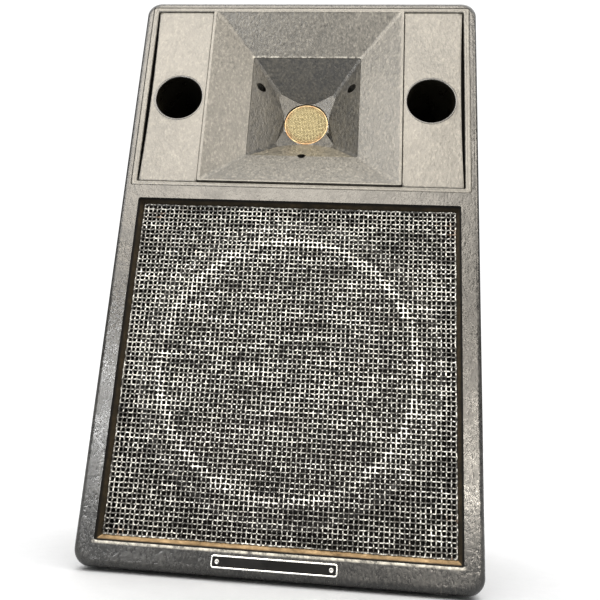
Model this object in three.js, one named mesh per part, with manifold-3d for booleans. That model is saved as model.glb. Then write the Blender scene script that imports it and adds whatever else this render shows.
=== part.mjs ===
// A two-way loudspeaker for public address: a moulded plastic cabinet in two shells, a recessed
// steel grille over a twelve-inch woofer, and a top section that holds a square horn with its
// tweeter between two vent panels.
// Millimetres. +X is right, +Y runs from the front to the back, +Z is up. The origin is on the
// floor under the middle of the cabinet.
import * as THREE from "three";
import { ConvexGeometry } from "three/addons/geometries/ConvexGeometry.js";
import { mergeVertices } from "three/addons/utils/BufferGeometryUtils.js";
import Module from "manifold-3d";

// ---------------------------------------------------------------- driving dimensions
const gap = 0.3; // between pieces that touch
const seam = 0.8; // visible joint between moulded panels

// Cabinet. Depths (y) are measured from the front face, heights (z) from the cabinet's base.
const width = 368;
const height = 598;
const depth = 286;
const corner = 15;
const wall = 6;
const split = 90; // depth of the joint between the two shells
const frontRound = 4;
const baseRound = 8;
const backTaper = { start: 230, side: 26, top: 20 };
const footProud = 3;

// Woofer bay, behind the grille.
const grille = {
  width: 330.8, bottom: 24.1, top: 358.5, corner: 2.5, face: 10.2, sheet: 1.5,
  draft: 3.4, // how much the recess narrows on each side, from the front face to the ledge
};
const ledge = 6; // the grille rests on it
const baffle = { front: 30, back: 38 };
const wooferZ = (grille.bottom + grille.top) / 2;
const wooferHole = 142; // radius

// Top section: bezel, vent panels and horn.
const bezel = { halfWidth: 175.3, bottom: 373.3, top: 589.3, side: 5.3, rail: 4.3 };
const seat = 8; // depth of the plate that the bezel, panels and horn rest on
const seatBack = 14;
const panel = { inner: 106.3, outer: 168.9, bow: 2.1, bottom: 378.9, top: 584.5, face: 1 };
const vent = { x: 135.5, z: 476.5, radius: 25, wall: 3.2, length: 112 };
const horn = {
  halfWidth: 105.5, bottom: 378.6, top: 584.8, proud: 2, rim: 3, knee: 22, kneeHalf: 61,
  facet: 52, facetHalf: 33.5, floor: 60, floorHalf: 26.2, floorChamfer: 17.4,
  throat: 26.3, wall: 4.5, flange: 67, back: 64,
};
const hornZ = (horn.bottom + horn.top) / 2;
const driverScrew = { circle: 59.6, head: 3.4, headDepth: 2.6, seat: horn.back - 6 };

// Depth of the tweeter dome's crest at rest.
const domeCrest = 62.2;

const overallDepth = depth + horn.proud;
const frontY = horn.proud - overallDepth / 2; // where the front face stands in the part's frame

// ---------------------------------------------------------------- solids
const wasm = await Module();
wasm.setup();

function toSolid(geometry) {
  const bare = new THREE.BufferGeometry();
  bare.setAttribute("position", geometry.getAttribute("position").clone());
  if (geometry.index) bare.setIndex(geometry.index.clone());
  const merged = mergeVertices(bare, 1e-4);
  return new wasm.Manifold(
    new wasm.Mesh({
      numProp: 3,
      vertProperties: merged.attributes.position.array,
      triVerts: new Uint32Array(merged.index.array),
    }),
  );
}

function toGeometry(solid) {
  const mesh = solid.getMesh();
  const positions = new Float32Array(mesh.numVert * 3);
  for (let i = 0; i < mesh.numVert; i++) {
    for (let k = 0; k < 3; k++) {
      positions[3 * i + k] = mesh.vertProperties[mesh.numProp * i + k];
    }
  }
  const geometry = new THREE.BufferGeometry();
  geometry.setAttribute("position", new THREE.BufferAttribute(positions, 3));
  geometry.setIndex(new THREE.BufferAttribute(new Uint32Array(mesh.triVerts), 1));
  geometry.computeVertexNormals();
  return geometry;
}

// The base with every added piece joined on and every removed piece cut away.
function shaped(base, { add = [], remove = [] }) {
  let solid = toSolid(base);
  for (const piece of add) solid = solid.add(toSolid(piece));
  for (const piece of remove) solid = solid.subtract(toSolid(piece));
  return toGeometry(solid);
}

// ---------------------------------------------------------------- basic shapes
function block(x0, x1, y0, y1, z0, z1) {
  return new THREE.BoxGeometry(x1 - x0, y1 - y0, z1 - z0)
    .translate((x0 + x1) / 2, (y0 + y1) / 2, (z0 + z1) / 2);
}

// A rounded rectangle in the plane of the front, drawn as (x, z).
function roundedOutline(x0, x1, z0, z1, radius) {
  const shape = new THREE.Shape();
  shape.moveTo(x0 + radius, z0);
  shape.lineTo(x1 - radius, z0);
  shape.absarc(x1 - radius, z0 + radius, radius, -Math.PI / 2, 0, false);
  shape.lineTo(x1, z1 - radius);
  shape.absarc(x1 - radius, z1 - radius, radius, 0, Math.PI / 2, false);
  shape.lineTo(x0 + radius, z1);
  shape.absarc(x0 + radius, z1 - radius, radius, Math.PI / 2, Math.PI, false);
  shape.lineTo(x0, z0 + radius);
  shape.absarc(x0 + radius, z0 + radius, radius, Math.PI, 1.5 * Math.PI, false);
  return shape;
}

// A shape in the plane of the front, made solid from depth y0 to depth y1.
function slab(shape, y0, y1, curveSegments = 4) {
  return new THREE.ExtrudeGeometry(shape, { depth: y1 - y0, bevelEnabled: false, curveSegments })
    .rotateX(Math.PI / 2)
    .translate(0, y1, 0);
}

function roundedSlab(x0, x1, y0, y1, z0, z1, radius) {
  return slab(roundedOutline(x0, x1, z0, z1, radius), y0, y1);
}

// A rod that runs front to back.
function rod(x, z, radius, y0, y1, sides = 24) {
  return new THREE.CylinderGeometry(radius, radius, y1 - y0, sides)
    .translate(x, (y0 + y1) / 2, z);
}

// A rod that stands up.
function post(x, y, radius, z0, z1, sides = 24) {
  return new THREE.CylinderGeometry(radius, radius, z1 - z0, sides)
    .rotateX(Math.PI / 2)
    .translate(x, y, (z0 + z1) / 2);
}

// A closed profile of [radius, depth] points, turned about the front-to-back axis.
function turned(profile, sides = 32) {
  const points = profile.map(([r, y]) => new THREE.Vector2(r, y));
  if (THREE.ShapeUtils.area(points) < 0) points.reverse();
  points.push(points[0].clone());
  return new THREE.LatheGeometry(points, sides);
}

// The same, for a profile that starts and ends on the axis.
function turnedSolid(profile, sides = 20) {
  const points = profile.map(([r, y]) => new THREE.Vector2(r, y));
  if (THREE.ShapeUtils.area(points) < 0) points.reverse();
  return new THREE.LatheGeometry(points, sides);
}

function ring(outer, inner, y0, y1, sides = 32) {
  return turned([[inner, y0], [outer, y0], [outer, y1], [inner, y1]], sides);
}

// The convex body between chamfered squares, each one [depth, half width, corner chamfer].
function taperedSquare(levels, centreZ) {
  const points = [];
  for (const [y, half, chamfer] of levels) {
    const short = half - chamfer;
    for (const [x, z] of [[half, short], [short, half], [-short, half], [-half, short],
      [-half, -short], [-short, -half], [short, -half], [half, -short]]) {
      points.push(new THREE.Vector3(x, y, centreZ + z));
    }
  }
  return new ConvexGeometry(points);
}

// A block that narrows by draft on each side between y0 and y1, and starts a little before y0.
function taperedBlock(x0, x1, y0, y1, z0, z1, draft) {
  const early = 1;
  const points = [];
  for (const [y, inset] of [[y0 - early, (-draft * early) / (y1 - y0)], [y1, draft]]) {
    for (const x of [x0 + inset, x1 - inset]) {
      for (const z of [z0 + inset, z1 - inset]) points.push(new THREE.Vector3(x, y, z));
    }
  }
  return new ConvexGeometry(points);
}

// A pan-head screw along the front-to-back axis: its head's face is at y0.
function screw(head, headDepth, shank, length) {
  const body = turnedSolid([
    [0, 0], [0.75 * head, 0], [head, 0.4 * headDepth], [head, headDepth],
    [shank, headDepth], [shank, headDepth + length - shank], [0, headDepth + length],
  ], 8);
  const slot = block(-0.65 * head, 0.65 * head, -1, 0.5 * headDepth, -0.14 * head, 0.14 * head);
  return shaped(body, { remove: [slot] });
}

// ---------------------------------------------------------------- materials
function material(name, color, roughness, metalness = 0) {
  return new THREE.MeshStandardMaterial({ name, color, roughness, metalness });
}

const blackPlastic = material("cabinet_plastic", 0x2b2b2c, 0.62);
const panelPlastic = material("panel_plastic", 0x3a3936, 0.58);
const grillePaint = material("grille_paint", 0x5a5a58, 0.55, 0.4);
const goldMesh = material("gold_mesh", 0xb89c62, 0.45, 0.8);
const rubber = material("rubber", 0x161616, 0.85);
const foam = material("closed_foam", 0x1d1d1d, 0.95);
const wadding = material("wadding", 0xb9b5a8, 1);
const steel = material("zinc_steel", 0x9a9c9e, 0.38, 0.9);
const blackSteel = material("black_steel", 0x1b1b1c, 0.5, 0.6);
const ferrite = material("ferrite", 0x2c2b2d, 0.7, 0.1);
const paper = material("cone_paper", 0x222120, 0.9);
const cloth = material("spider_cloth", 0x8b6a35, 0.95);
const copper = material("copper_coil", 0xa4562a, 0.35, 0.9);
const fabric = material("dome_fabric", 0x1f1d1c, 0.8);
const chrome = material("chrome", 0xc9cacc, 0.15, 1);
const badge = material("badge", 0x101011, 0.35, 0.2);
const aluminium = material("aluminium", 0xb7b9bb, 0.4, 0.9);
const board = material("circuit_board", 0x5c7a45, 0.6);
const sleeve = material("capacitor_sleeve", 0x2a3a5a, 0.4);
const wire = material("lead_insulation", 0x5b1f1c, 0.5);

function place(parent, name, geometry, finish, x = 0, y = 0, z = 0) {
  const mesh = new THREE.Mesh(geometry, finish);
  mesh.name = name;
  mesh.position.set(x, y, z);
  parent.add(mesh);
  return mesh;
}

// ---------------------------------------------------------------- cabinet outline
// How far a rounded edge of the given radius stands in at a distance from its end.
function roundedInset(distance, radius, reach = radius) {
  if (distance >= reach) return 0;
  const t = 1 - Math.max(distance, 0) / reach;
  return radius * (1 - Math.sqrt(1 - t * t));
}

// A prism of the cabinet's outline, drawn in at each depth by the front, back and wall insets.
function cabinetForm(depths, inset = 0) {
  const outline = roundedOutline(-width / 2, width / 2, 0, height, corner);
  const steps = depths.length - 1;
  const form = new THREE.ExtrudeGeometry(outline, {
    depth: steps, steps, bevelEnabled: false, curveSegments: 3,
  });
  const position = form.attributes.position;
  const tail = depth - backTaper.start;
  for (let i = 0; i < position.count; i++) {
    const y = depths[Math.round(steps - position.getZ(i))];
    const fromBack = depth - inset - y;
    const front = inset ? 0 : roundedInset(y, frontRound);
    const side = inset + front + roundedInset(fromBack, backTaper.side, tail);
    const top = inset + front + roundedInset(fromBack, backTaper.top, tail);
    const base = inset + (inset ? 0 : roundedInset(y, baseRound))
      + roundedInset(fromBack, baseRound);
    const x = position.getX(i) * (1 - (2 * side) / width);
    const z = base + (position.getY(i) * (height - top - base)) / height;
    position.setXYZ(i, x, z, -y);
  }
  return form.rotateX(Math.PI / 2);
}

// Evenly spaced turns of a quarter circle from a start depth to an end depth.
function quarterDepths(start, end, steps) {
  const depths = [];
  for (let i = 1; i <= steps; i++) {
    depths.push(start + (end - start) * Math.sin((i * Math.PI) / 2 / steps));
  }
  return depths;
}

const screwTowers = [-1, 1].flatMap((side) => [40, 556].map((z) => ({ x: side * 146, z })));
const towerRadius = 8;
const towerHole = 5.2;
const towerSeat = 104; // depth that the joint screws' heads bear on
const feet = [-1, 1].flatMap((side) => [28, 250].map((y) => ({ x: side * 150, y })));
const foot = { radius: 11, sunk: 2 };
const socket = { y: 150, bore: 18.2, radius: 21.5, flange: 32, depth: 82 };
const handle = { y: 161, z: 332, halfLong: 62, halfHigh: 50, mouthLong: 52, mouthHigh: 30,
  sunk: 42, undercut: 16, flange: 3 };
const input = { z: 250, halfWide: 70, halfHigh: 42, plateFace: 271.7, plate: 2, window: 50,
  screwX: 58 };
const jack = { x: 22, bore: 3.25, bushing: 4.7, hole: 5.1 };

function cabinetShells(parent) {
  const frontDepths = [0, 0.6, 2, 4, 8, split - gap / 2];
  const hornHole = horn.halfWidth - 8.5;
  const bay = { left: -grille.width / 2, right: grille.width / 2 };
  const driverHoles = wooferScrewPlaces().map(({ x, z }) =>
    rod(x, wooferZ + z, 2.4, baffle.front - 1, baffle.back + 1, 10));
  const frontTowers = screwTowers.map(({ x, z }) =>
    rod(x, z, towerRadius, (z < bezel.bottom ? baffle.back : seatBack) - 1, split - gap / 2, 10));
  const front = shaped(cabinetForm(frontDepths), {
    remove: [
      roundedSlab(-width / 2 + wall, width / 2 - wall, baffle.back, split + 1,
        wall, height - wall, corner - wall),
      taperedBlock(bay.left, bay.right, 0, grille.face + grille.sheet + gap,
        grille.bottom, grille.top, grille.draft),
      roundedSlab(bay.left + ledge, bay.right - ledge, grille.face, baffle.front,
        grille.bottom + ledge, grille.top - ledge, grille.corner),
      rod(0, wooferZ, wooferHole, baffle.front - 1, baffle.back + 1, 32),
      block(-bezel.halfWidth - seam, bezel.halfWidth + seam, -1, seat,
        bezel.bottom - seam, bezel.top + seam),
      roundedSlab(-width / 2 + wall, width / 2 - wall, seatBack, baffle.back + 1,
        bezel.bottom + 10, height - wall, corner - wall),
      block(-hornHole, hornHole, seat - 1, seatBack + 1, bezel.bottom + 11, bezel.top - 11),
      ...[-1, 1].map((side) => rod(side * vent.x, vent.z, vent.radius + vent.wall + gap,
        seat - 1, seatBack + 1, 24)),
      ...driverHoles,
    ],
  });
  const frontWithTowers = shaped(front, {
    add: frontTowers,
    remove: [
      ...screwTowers.map(({ x, z }) => rod(x, z, 2.5, split - 26, split + 1, 8)),
      ...feet.filter(({ y }) => y < split)
        .map(({ x, y }) => post(x, y, foot.radius + gap, -1, foot.sunk + gap, 20)),
    ],
  });
  place(parent, "front_shell", frontWithTowers, blackPlastic);

  const backDepths = [split + gap / 2, backTaper.start, ...quarterDepths(backTaper.start, depth, 5)];
  const hollowDepths = [split - 1, backTaper.start - wall,
    ...quarterDepths(backTaper.start - wall, depth - wall, 4)];
  const rearWall = depth - wall + 0.5;
  const mouth = handle.halfLong - 5;
  const shell = shaped(cabinetForm(backDepths), { remove: [cabinetForm(hollowDepths, wall)] });
  const rear = shaped(shell, {
    add: [
      roundedSlab(-input.halfWide - 5, input.halfWide + 5, input.plateFace - 9, rearWall,
        input.z - input.halfHigh - 5, input.z + input.halfHigh + 5, 6),
      ...screwTowers.map(({ x, z }) => rod(x, z, towerRadius, split + gap / 2, rearWall, 10)),
      ...boardPosts.map(({ x, z }) => rod(x, z, 4, crossover.back + gap, rearWall, 12)),
    ],
  });
  const openings = [
    roundedSlab(-input.halfWide, input.halfWide, input.plateFace - input.plate - gap, depth + 1,
      input.z - input.halfHigh, input.z + input.halfHigh, 5),
    block(-input.window, input.window, input.plateFace - 12, depth,
      input.z - 24, input.z + 24),
    ...[-1, 1].map((side) => rod(side * input.screwX, input.z, 2.4, input.plateFace - 12,
      input.plateFace, 8)),
    ...screwTowers.map(({ x, z }) => rod(x, z, towerHole, towerSeat, depth + 1, 10)),
    ...screwTowers.map(({ x, z }) => rod(x, z, 2.6, split - 1, depth, 8)),
    ...feet.filter(({ y }) => y > split)
      .map(({ x, y }) => post(x, y, foot.radius + gap, -1, foot.sunk + gap, 20)),
    post(0, socket.y, socket.radius + gap, -1, wall + 1, 24),
    ...[-1, 1].map((side) => block(
      side > 0 ? width / 2 - wall - 1 : -width / 2 - 1,
      side > 0 ? width / 2 + 1 : -width / 2 + wall + 1,
      handle.y - mouth, handle.y + mouth,
      handle.z - handle.halfHigh + 5, handle.z + handle.halfHigh - 5)),
    ...[-1, 1].map((side) => block(
      side > 0 ? width / 2 - handle.flange - gap : -width / 2 - 1,
      side > 0 ? width / 2 + 1 : -width / 2 + handle.flange + gap,
      handle.y - handle.halfLong - gap, handle.y + handle.halfLong + gap,
      handle.z - handle.halfHigh - gap, handle.z + handle.halfHigh + gap)),
  ];
  place(parent, "rear_shell", shaped(rear, { remove: openings }), blackPlastic);
}

// ---------------------------------------------------------------- cabinet fittings
// A foam strip round the inside of the joint between the two shells.
function jointSeal(parent) {
  const strip = { thick: 4, reach: 2 };
  const outline = (inset) => roundedOutline(
    -width / 2 + wall + inset, width / 2 - wall - inset, wall + inset, height - wall - inset,
    corner);
  const frame = slab(outline(gap), split - strip.reach, split + strip.reach);
  const inside = slab(outline(gap + strip.thick), split - 3, split + 3);
  place(parent, "joint_seal", shaped(frame, { remove: [inside] }), foam);
}

function cabinetFittings(parent) {
  screwTowers.forEach(({ x, z }, i) => {
    const joint = screw(4.4, 3, 2.1, 34).rotateX(Math.PI);
    place(parent, `joint_screw_${i + 1}`, joint, steel, x, towerSeat + gap + 3, z);
  });
  feet.forEach(({ x, y }, i) => {
    const profile = [[0, -footProud], [9, -footProud], [10.4, -footProud + 1.6],
      [foot.radius, -footProud + 2.2], [foot.radius, foot.sunk], [0, foot.sunk]];
    const pad = turnedSolid(profile, 16).rotateX(Math.PI / 2);
    place(parent, `foot_${i + 1}`, pad, rubber, x, y, 0);
  });
  const lip = wall + gap;
  const cup = turned([
    [socket.bore, gap], [socket.radius, gap], [socket.radius, lip], [socket.flange, lip],
    [socket.flange, lip + 3.5], [socket.radius, lip + 3.5], [socket.radius, socket.depth + 3],
    [0.01, socket.depth + 3], [0.01, socket.depth], [socket.bore, socket.depth],
  ], 24);
  const closed = shaped(cup.rotateX(Math.PI / 2), {
    add: [post(0, 0, 2, socket.depth, socket.depth + 3, 6)],
  });
  place(parent, "stand_socket", closed, blackPlastic, 0, socket.y, 0);
  for (const side of [-1, 1]) {
    const name = side < 0 ? "handle_cup_left" : "handle_cup_right";
    place(parent, name, handleCup(side), blackPlastic, side * (width / 2), handle.y, handle.z);
  }
}

// A hand hold, sunk into the cabinet's side: the fingers turn up behind its upper lip.
function handleCup(side) {
  const { halfLong, halfHigh, mouthLong, mouthHigh, sunk, undercut, flange } = handle;
  const bodyLong = halfLong - 6;
  const bodyHigh = halfHigh - 6;
  const top = Math.min(mouthHigh + undercut, bodyHigh - 3);
  const inward = (x0, x1) => (side > 0 ? [-x1, -x0] : [x0, x1]);
  const part = (x0, x1, y, z0, z1) => block(...inward(x0, x1), -y, y, z0, z1);
  return shaped(part(0, flange, halfLong, -halfHigh, halfHigh), {
    add: [part(flange - 1, sunk, bodyLong, -bodyHigh, bodyHigh)],
    remove: [
      part(-1, sunk - 3, mouthLong, -mouthHigh, mouthHigh),
      part(14, sunk - 3, mouthLong, 0, top),
    ],
  });
}

// ---------------------------------------------------------------- grille and badge
function grilleAndBadge(parent) {
  const back = grille.face + grille.sheet;
  const inset = grille.draft + gap;
  const sheet = roundedSlab(-grille.width / 2 + inset, grille.width / 2 - inset, grille.face, back,
    grille.bottom + inset, grille.top - inset, grille.corner);
  const bead = (radius) => turned([
    [radius - 6.5, grille.face + 0.5], [radius - 5, grille.face - 0.8],
    [radius + 5, grille.face - 0.8], [radius + 6.5, grille.face + 0.5],
  ], 40).translate(0, 0, wooferZ);
  const pressed = shaped(sheet, { add: [bead(126)] });
  place(parent, "grille", pressed, grillePaint);

  const plate = { halfWide: 56.2, bottom: 8.6, top: 19.6, thick: 1.2, field: 0.8 };
  const middle = (plate.bottom + plate.top) / 2;
  const rivetX = plate.halfWide - 5.5;
  const holes = [-rivetX, rivetX].map((x) => rod(x, middle, 1.6, -5, 5, 12));
  const face = roundedSlab(-plate.halfWide, plate.halfWide, -plate.thick - gap, -gap,
    plate.bottom, plate.top, 2.5);
  const field = roundedSlab(-plate.halfWide + 1, plate.halfWide - 1, -5, -plate.field - gap,
    plate.bottom + 1, plate.top - 1, 1.8);
  place(parent, "badge_plate", shaped(face, { remove: [field, ...holes] }), badge);
  for (const side of [-1, 1]) {
    const rivet = turnedSolid([[0, -1.95], [1.3, -1.8], [2.2, -1.4], [1.2, -1.4], [1.2, -gap],
      [0, -gap]], 12);
    const name = side < 0 ? "badge_rivet_left" : "badge_rivet_right";
    place(parent, name, rivet, aluminium, side * rivetX, 0, middle);
  }
}

// ---------------------------------------------------------------- top section
function ventPanel(side) {
  const outline = new THREE.Shape();
  const { inner, outer, bow, bottom, top } = panel;
  outline.moveTo(side * inner, bottom);
  outline.lineTo(side * outer, bottom);
  outline.quadraticCurveTo(side * (outer - 2 * bow), (bottom + top) / 2, side * outer, top);
  outline.lineTo(side * inner, top);
  outline.closePath();
  const plate = slab(outline, panel.face, seat - gap, 10);
  const hole = rod(side * vent.x, vent.z, vent.radius + vent.wall + gap, 0, seat + 1, 24);
  return shaped(plate, { remove: [hole] });
}

function ventTube() {
  const outer = vent.radius + vent.wall;
  return turned([
    [vent.radius + 2.2, panel.face - 0.8], [outer - 0.6, panel.face - 0.4], [outer, panel.face],
    [outer, seatBack + gap], [outer + 6, seatBack + gap], [outer + 6, seatBack + 3],
    [outer, seatBack + 3],
    [outer, vent.length], [vent.radius, vent.length], [vent.radius, panel.face + 2.6],
    [vent.radius + 0.8, panel.face + 0.4],
  ], 24);
}

function hornBody() {
  const { halfWidth, bottom, top, proud, rim, knee, kneeHalf, floor, floorHalf } = horn;
  const flange = block(-halfWidth, halfWidth, -proud, seat - gap, bottom, top);
  const mouthHalf = halfWidth - rim;
  const mouth = [[-proud, mouthHalf, 1], [knee, kneeHalf, 2]];
  const slope = (mouthHalf - kneeHalf) / (proud + knee);
  const past = [-proud - 1, mouthHalf + slope, 1];
  const pit = [
    [knee - 0.01, kneeHalf, 2], [horn.facet, horn.facetHalf, 4], [floor, floorHalf, horn.floorChamfer],
  ];
  const skin = horn.wall;
  const outerMouth = taperedSquare([
    [seat - gap - 1, halfWidth - 12, 4], [knee + skin, kneeHalf + skin, 4],
  ], hornZ);
  const outerPit = taperedSquare([
    [knee, kneeHalf + skin, 4], [horn.back, floorHalf + 5, 11],
  ], hornZ);
  const screws = driverScrewPlaces();
  const bosses = screws.map(({ x, z }) => rod(x, hornZ + z, 7.5, knee + 2, horn.back, 12));
  const shafts = screws.map(({ x, z }) =>
    rod(x, hornZ + z, driverScrew.head + 0.5, knee - 12, driverScrew.seat, 12));
  const pilots = screws.map(({ x, z }) =>
    rod(x, hornZ + z, 2.1, driverScrew.seat - 1, horn.back + 1, 8));
  const driverFlange = rod(0, hornZ, horn.flange, horn.back - 5, horn.back, 32);
  return shaped(flange, {
    add: [outerMouth, outerPit, driverFlange, ...bosses],
    remove: [
      taperedSquare([past, ...mouth], hornZ),
      taperedSquare(pit, hornZ),
      rod(0, hornZ, horn.throat, floor - 1, horn.back + 1, 32),
      ...shafts,
      ...pilots,
    ],
  });
}

function driverScrewPlaces() {
  return [150, 30, 270].map((degrees) => ({
    x: driverScrew.circle * Math.cos((degrees * Math.PI) / 180),
    z: driverScrew.circle * Math.sin((degrees * Math.PI) / 180),
  }));
}

function topSection(parent) {
  const { halfWidth, bottom, top, side, rail } = bezel;
  const frame = shaped(block(-halfWidth, halfWidth, 0, seat - gap, bottom, top), {
    remove: [block(-halfWidth + side, halfWidth - side, -1, seat, bottom + rail, top - rail)],
  });
  place(parent, "top_bezel", frame, panelPlastic);
  for (const direction of [-1, 1]) {
    const word = direction < 0 ? "left" : "right";
    place(parent, `vent_panel_${word}`, ventPanel(direction), panelPlastic);
    place(parent, `vent_tube_${word}`, ventTube(), blackPlastic, direction * vent.x, 0, vent.z);
  }
  place(parent, "horn", hornBody(), panelPlastic);
}

// ---------------------------------------------------------------- tweeter
function tweeter(parent) {
  const face = horn.back + gap;
  const plate = { outer: horn.flange, inner: 26, thick: 4 };
  const holes = driverScrewPlaces().map(({ x, z }) => rod(x, z, 1.9, face - 1, face + 9, 8));
  const unit = new THREE.Group();
  unit.position.z = hornZ;
  parent.add(unit);

  const screen = turnedSolid([
    [0, 59.2], [13, 59.6], [22, 60.7], [25.8, 61.6], [25.8, 62.2], [22, 61.4], [13, 60.4],
    [0, 60],
  ], 24);
  place(unit, "tweeter_screen", screen, goldMesh);
  place(unit, "tweeter_faceplate",
    shaped(ring(plate.outer, plate.inner, face, face + plate.thick, 32), { remove: holes }),
    aluminium);
  const dome = turned([
    [0.01, domeCrest], [14, domeCrest + 1.8], [22.5, domeCrest + 5.4],
    [25.5, domeCrest + 5], [25.5, domeCrest + 5.6], [23.8, domeCrest + 6], [23.8, 77],
    [23, 77], [23, domeCrest + 6.2], [14, domeCrest + 2.4], [0.01, domeCrest + 0.6],
  ], 20);
  const crown = rod(0, 0, 1, domeCrest + 0.1, domeCrest + 0.55, 6);
  place(unit, "tweeter_dome", shaped(dome, { add: [crown] }), fabric);
  const topPlate = { front: face + plate.thick + gap, thick: 4 };
  const magnetFront = topPlate.front + topPlate.thick + gap;
  const magnetBack = magnetFront + 14;
  place(unit, "tweeter_top_plate",
    ring(42, 24.8, topPlate.front, topPlate.front + topPlate.thick, 24), steel);
  place(unit, "tweeter_magnet", ring(45, 31, magnetFront, magnetBack, 24), ferrite);
  const yoke = turnedSolid([
    [0, 69.6], [21.4, 69.6], [22.2, 70.2], [22.2, magnetBack + gap], [42, magnetBack + gap],
    [42, magnetBack + 4 + gap], [0, magnetBack + 4 + gap],
  ], 24);
  place(unit, "tweeter_yoke", yoke, steel);
  driverScrewPlaces().forEach(({ x, z }, i) => {
    const { head, headDepth, seat: bearing } = driverScrew;
    place(unit, `tweeter_screw_${i + 1}`, screw(head, headDepth, 1.6, 11), steel,
      x, bearing - gap - headDepth, z);
  });
}

// ---------------------------------------------------------------- woofer
function wooferScrewPlaces() {
  return [45, 135, 225, 315].map((degrees) => ({
    x: 150 * Math.cos((degrees * Math.PI) / 180),
    z: 150 * Math.sin((degrees * Math.PI) / 180),
  }));
}

// Points of a circle's arc in the [radius, depth] plane.
function arc(centreR, centreY, radius, from, to, steps, stretch = 1) {
  const points = [];
  for (let i = 0; i <= steps; i++) {
    const angle = ((from + ((to - from) * i) / steps) * Math.PI) / 180;
    points.push([centreR + radius * Math.cos(angle), centreY + stretch * radius * Math.sin(angle)]);
  }
  return points;
}

// The cone's front surface: a gently flared curve from its edge to its neck.
function coneDepth(radius) {
  const edge = { r: 128, y: 33.3 };
  const neck = { r: 25.2, y: 78 };
  const t = (edge.r - radius) / (edge.r - neck.r);
  return edge.y + (neck.y - edge.y) * (0.82 * t + 0.18 * t * t);
}

function woofer(parent) {
  const unit = new THREE.Group();
  unit.position.z = wooferZ;
  parent.add(unit);
  const flangeFace = baffle.front - gap - 4;

  const basket = turned([
    [154.5, flangeFace], [154.5, baffle.front - gap], [141.4, baffle.front - gap],
    [140.6, 33], [83, 90.6], [81, 94], [68, 94], [65.5, 100], [46, 100], [46, 98], [64, 98],
    [66, 91.6], [79, 91.6], [80.6, 88.6], [138, 31.6], [138, flangeFace],
  ]);
  const windows = [];
  for (let i = 0; i < 6; i++) {
    const opening = block(-34, 34, 44, 84, 60, 150).rotateY((i * Math.PI) / 3);
    windows.push(opening);
  }
  const holes = wooferScrewPlaces().map(({ x, z }) =>
    rod(x, z, 2.4, flangeFace - 1, baffle.front, 10));
  place(unit, "woofer_basket", shaped(basket, { remove: [...windows, ...holes] }), blackSteel);

  const lip = { front: flangeFace - gap - 0.7, back: flangeFace - gap };
  place(unit, "woofer_gasket", ring(145.5, 140.6, lip.front - gap - 3, lip.front - gap), foam);
  const roll = { middle: 134, outer: 5.6, inner: 4.8, base: 26 };
  const surround = turned([
    [145.5, lip.front], [145.5, lip.back],
    ...arc(roll.middle, roll.base, roll.inner, -7, -180, 4, 1.15),
    [129.2, 31.6], [128.6, 32.9], [121, 32.9], [121, 32.2], [127.6, 32.2],
    ...arc(roll.middle, roll.base, roll.outer, -180, -12, 4, 1.15),
  ], 24);
  place(unit, "woofer_surround", surround, rubber);

  const stations = [116, 90, 62, 40, 25.8];
  const front = stations.map((r) => [r, coneDepth(r)]);
  const back = stations.map((r) => [r, coneDepth(r) + 1]).reverse();
  const cone = turned([[128, 33.2], ...front, ...back, [128, 34.2]]);
  place(unit, "woofer_cone", cone, paper);
  const capEdge = coneDepth(40) - gap;
  const dustCap = turned([
    [0.01, capEdge - 14], [20, capEdge - 10.6], [36.5, capEdge - 0.8],
    [40, capEdge - 1.2], [40, capEdge - 0.4], [36, capEdge + 0.1], [19.6, capEdge - 9.7],
    [0.01, capEdge - 13.1],
  ], 20);
  const crown = rod(0, 0, 1, capEdge - 13.8, capEdge - 13.2, 6);
  place(unit, "woofer_dust_cap", shaped(dustCap, { add: [crown] }), paper);
  const coil = turned([
    [24.9, 76.8], [25.5, 76.8], [25.5, 99], [26.1, 99], [26.1, 113], [24.9, 113],
  ], 24);
  place(unit, "woofer_voice_coil", coil, copper);
  place(unit, "woofer_spider", spider(), cloth);

  const topPlate = { front: 100 + gap, thick: 8 };
  const magnetFront = topPlate.front + topPlate.thick + gap;
  const magnetBack = magnetFront + 18;
  place(unit, "woofer_top_plate",
    ring(65, 27, topPlate.front, topPlate.front + topPlate.thick, 24), steel);
  place(unit, "woofer_magnet", ring(78, 38, magnetFront, magnetBack, 24), ferrite);
  const yoke = turnedSolid([
    [0, 99], [22.6, 99], [24, 100.4], [24, magnetBack + gap], [65, magnetBack + gap],
    [65, magnetBack + 7], [62, magnetBack + 9], [0, magnetBack + 9],
  ], 28);
  place(unit, "woofer_yoke", yoke, steel);
  wooferScrewPlaces().forEach(({ x, z }, i) => {
    place(unit, `woofer_screw_${i + 1}`, screw(3.7, 3, 2, 12), blackSteel,
      x, flangeFace - gap - 3, z);
  });
}

// A corrugated cloth disc that rises from its outer lip to its neck on the voice coil.
function spider() {
  const outer = { r: 70, y: 90.6 };
  const neck = { r: 27.4, y: 82.6 };
  const waves = 2;
  const steps = waves * 4;
  const front = [];
  const back = [];
  for (let i = 0; i <= steps; i++) {
    const t = i / steps;
    const r = outer.r + (neck.r - outer.r) * t;
    const y = outer.y + (neck.y - outer.y) * t - 1.3 * Math.sin(2 * Math.PI * waves * t);
    front.push([r, y - 0.35]);
    back.unshift([r, y + 0.35]);
  }
  const collar = [[26.3, neck.y - 2.4], [26.3, neck.y + 2]];
  return turned([[76.5, outer.y - 0.1], ...front, ...collar, ...back, [76.5, outer.y + 0.6]], 20);
}

// ---------------------------------------------------------------- input, crossover, wiring
const crossover = { halfWide: 60, bottom: 96, top: 186, back: 271, thick: 1.6 };
const boardPosts = [-1, 1].flatMap((side) => [crossover.bottom + 6, crossover.top - 6]
  .map((z) => ({ x: side * (crossover.halfWide - 6), z })));

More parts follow.
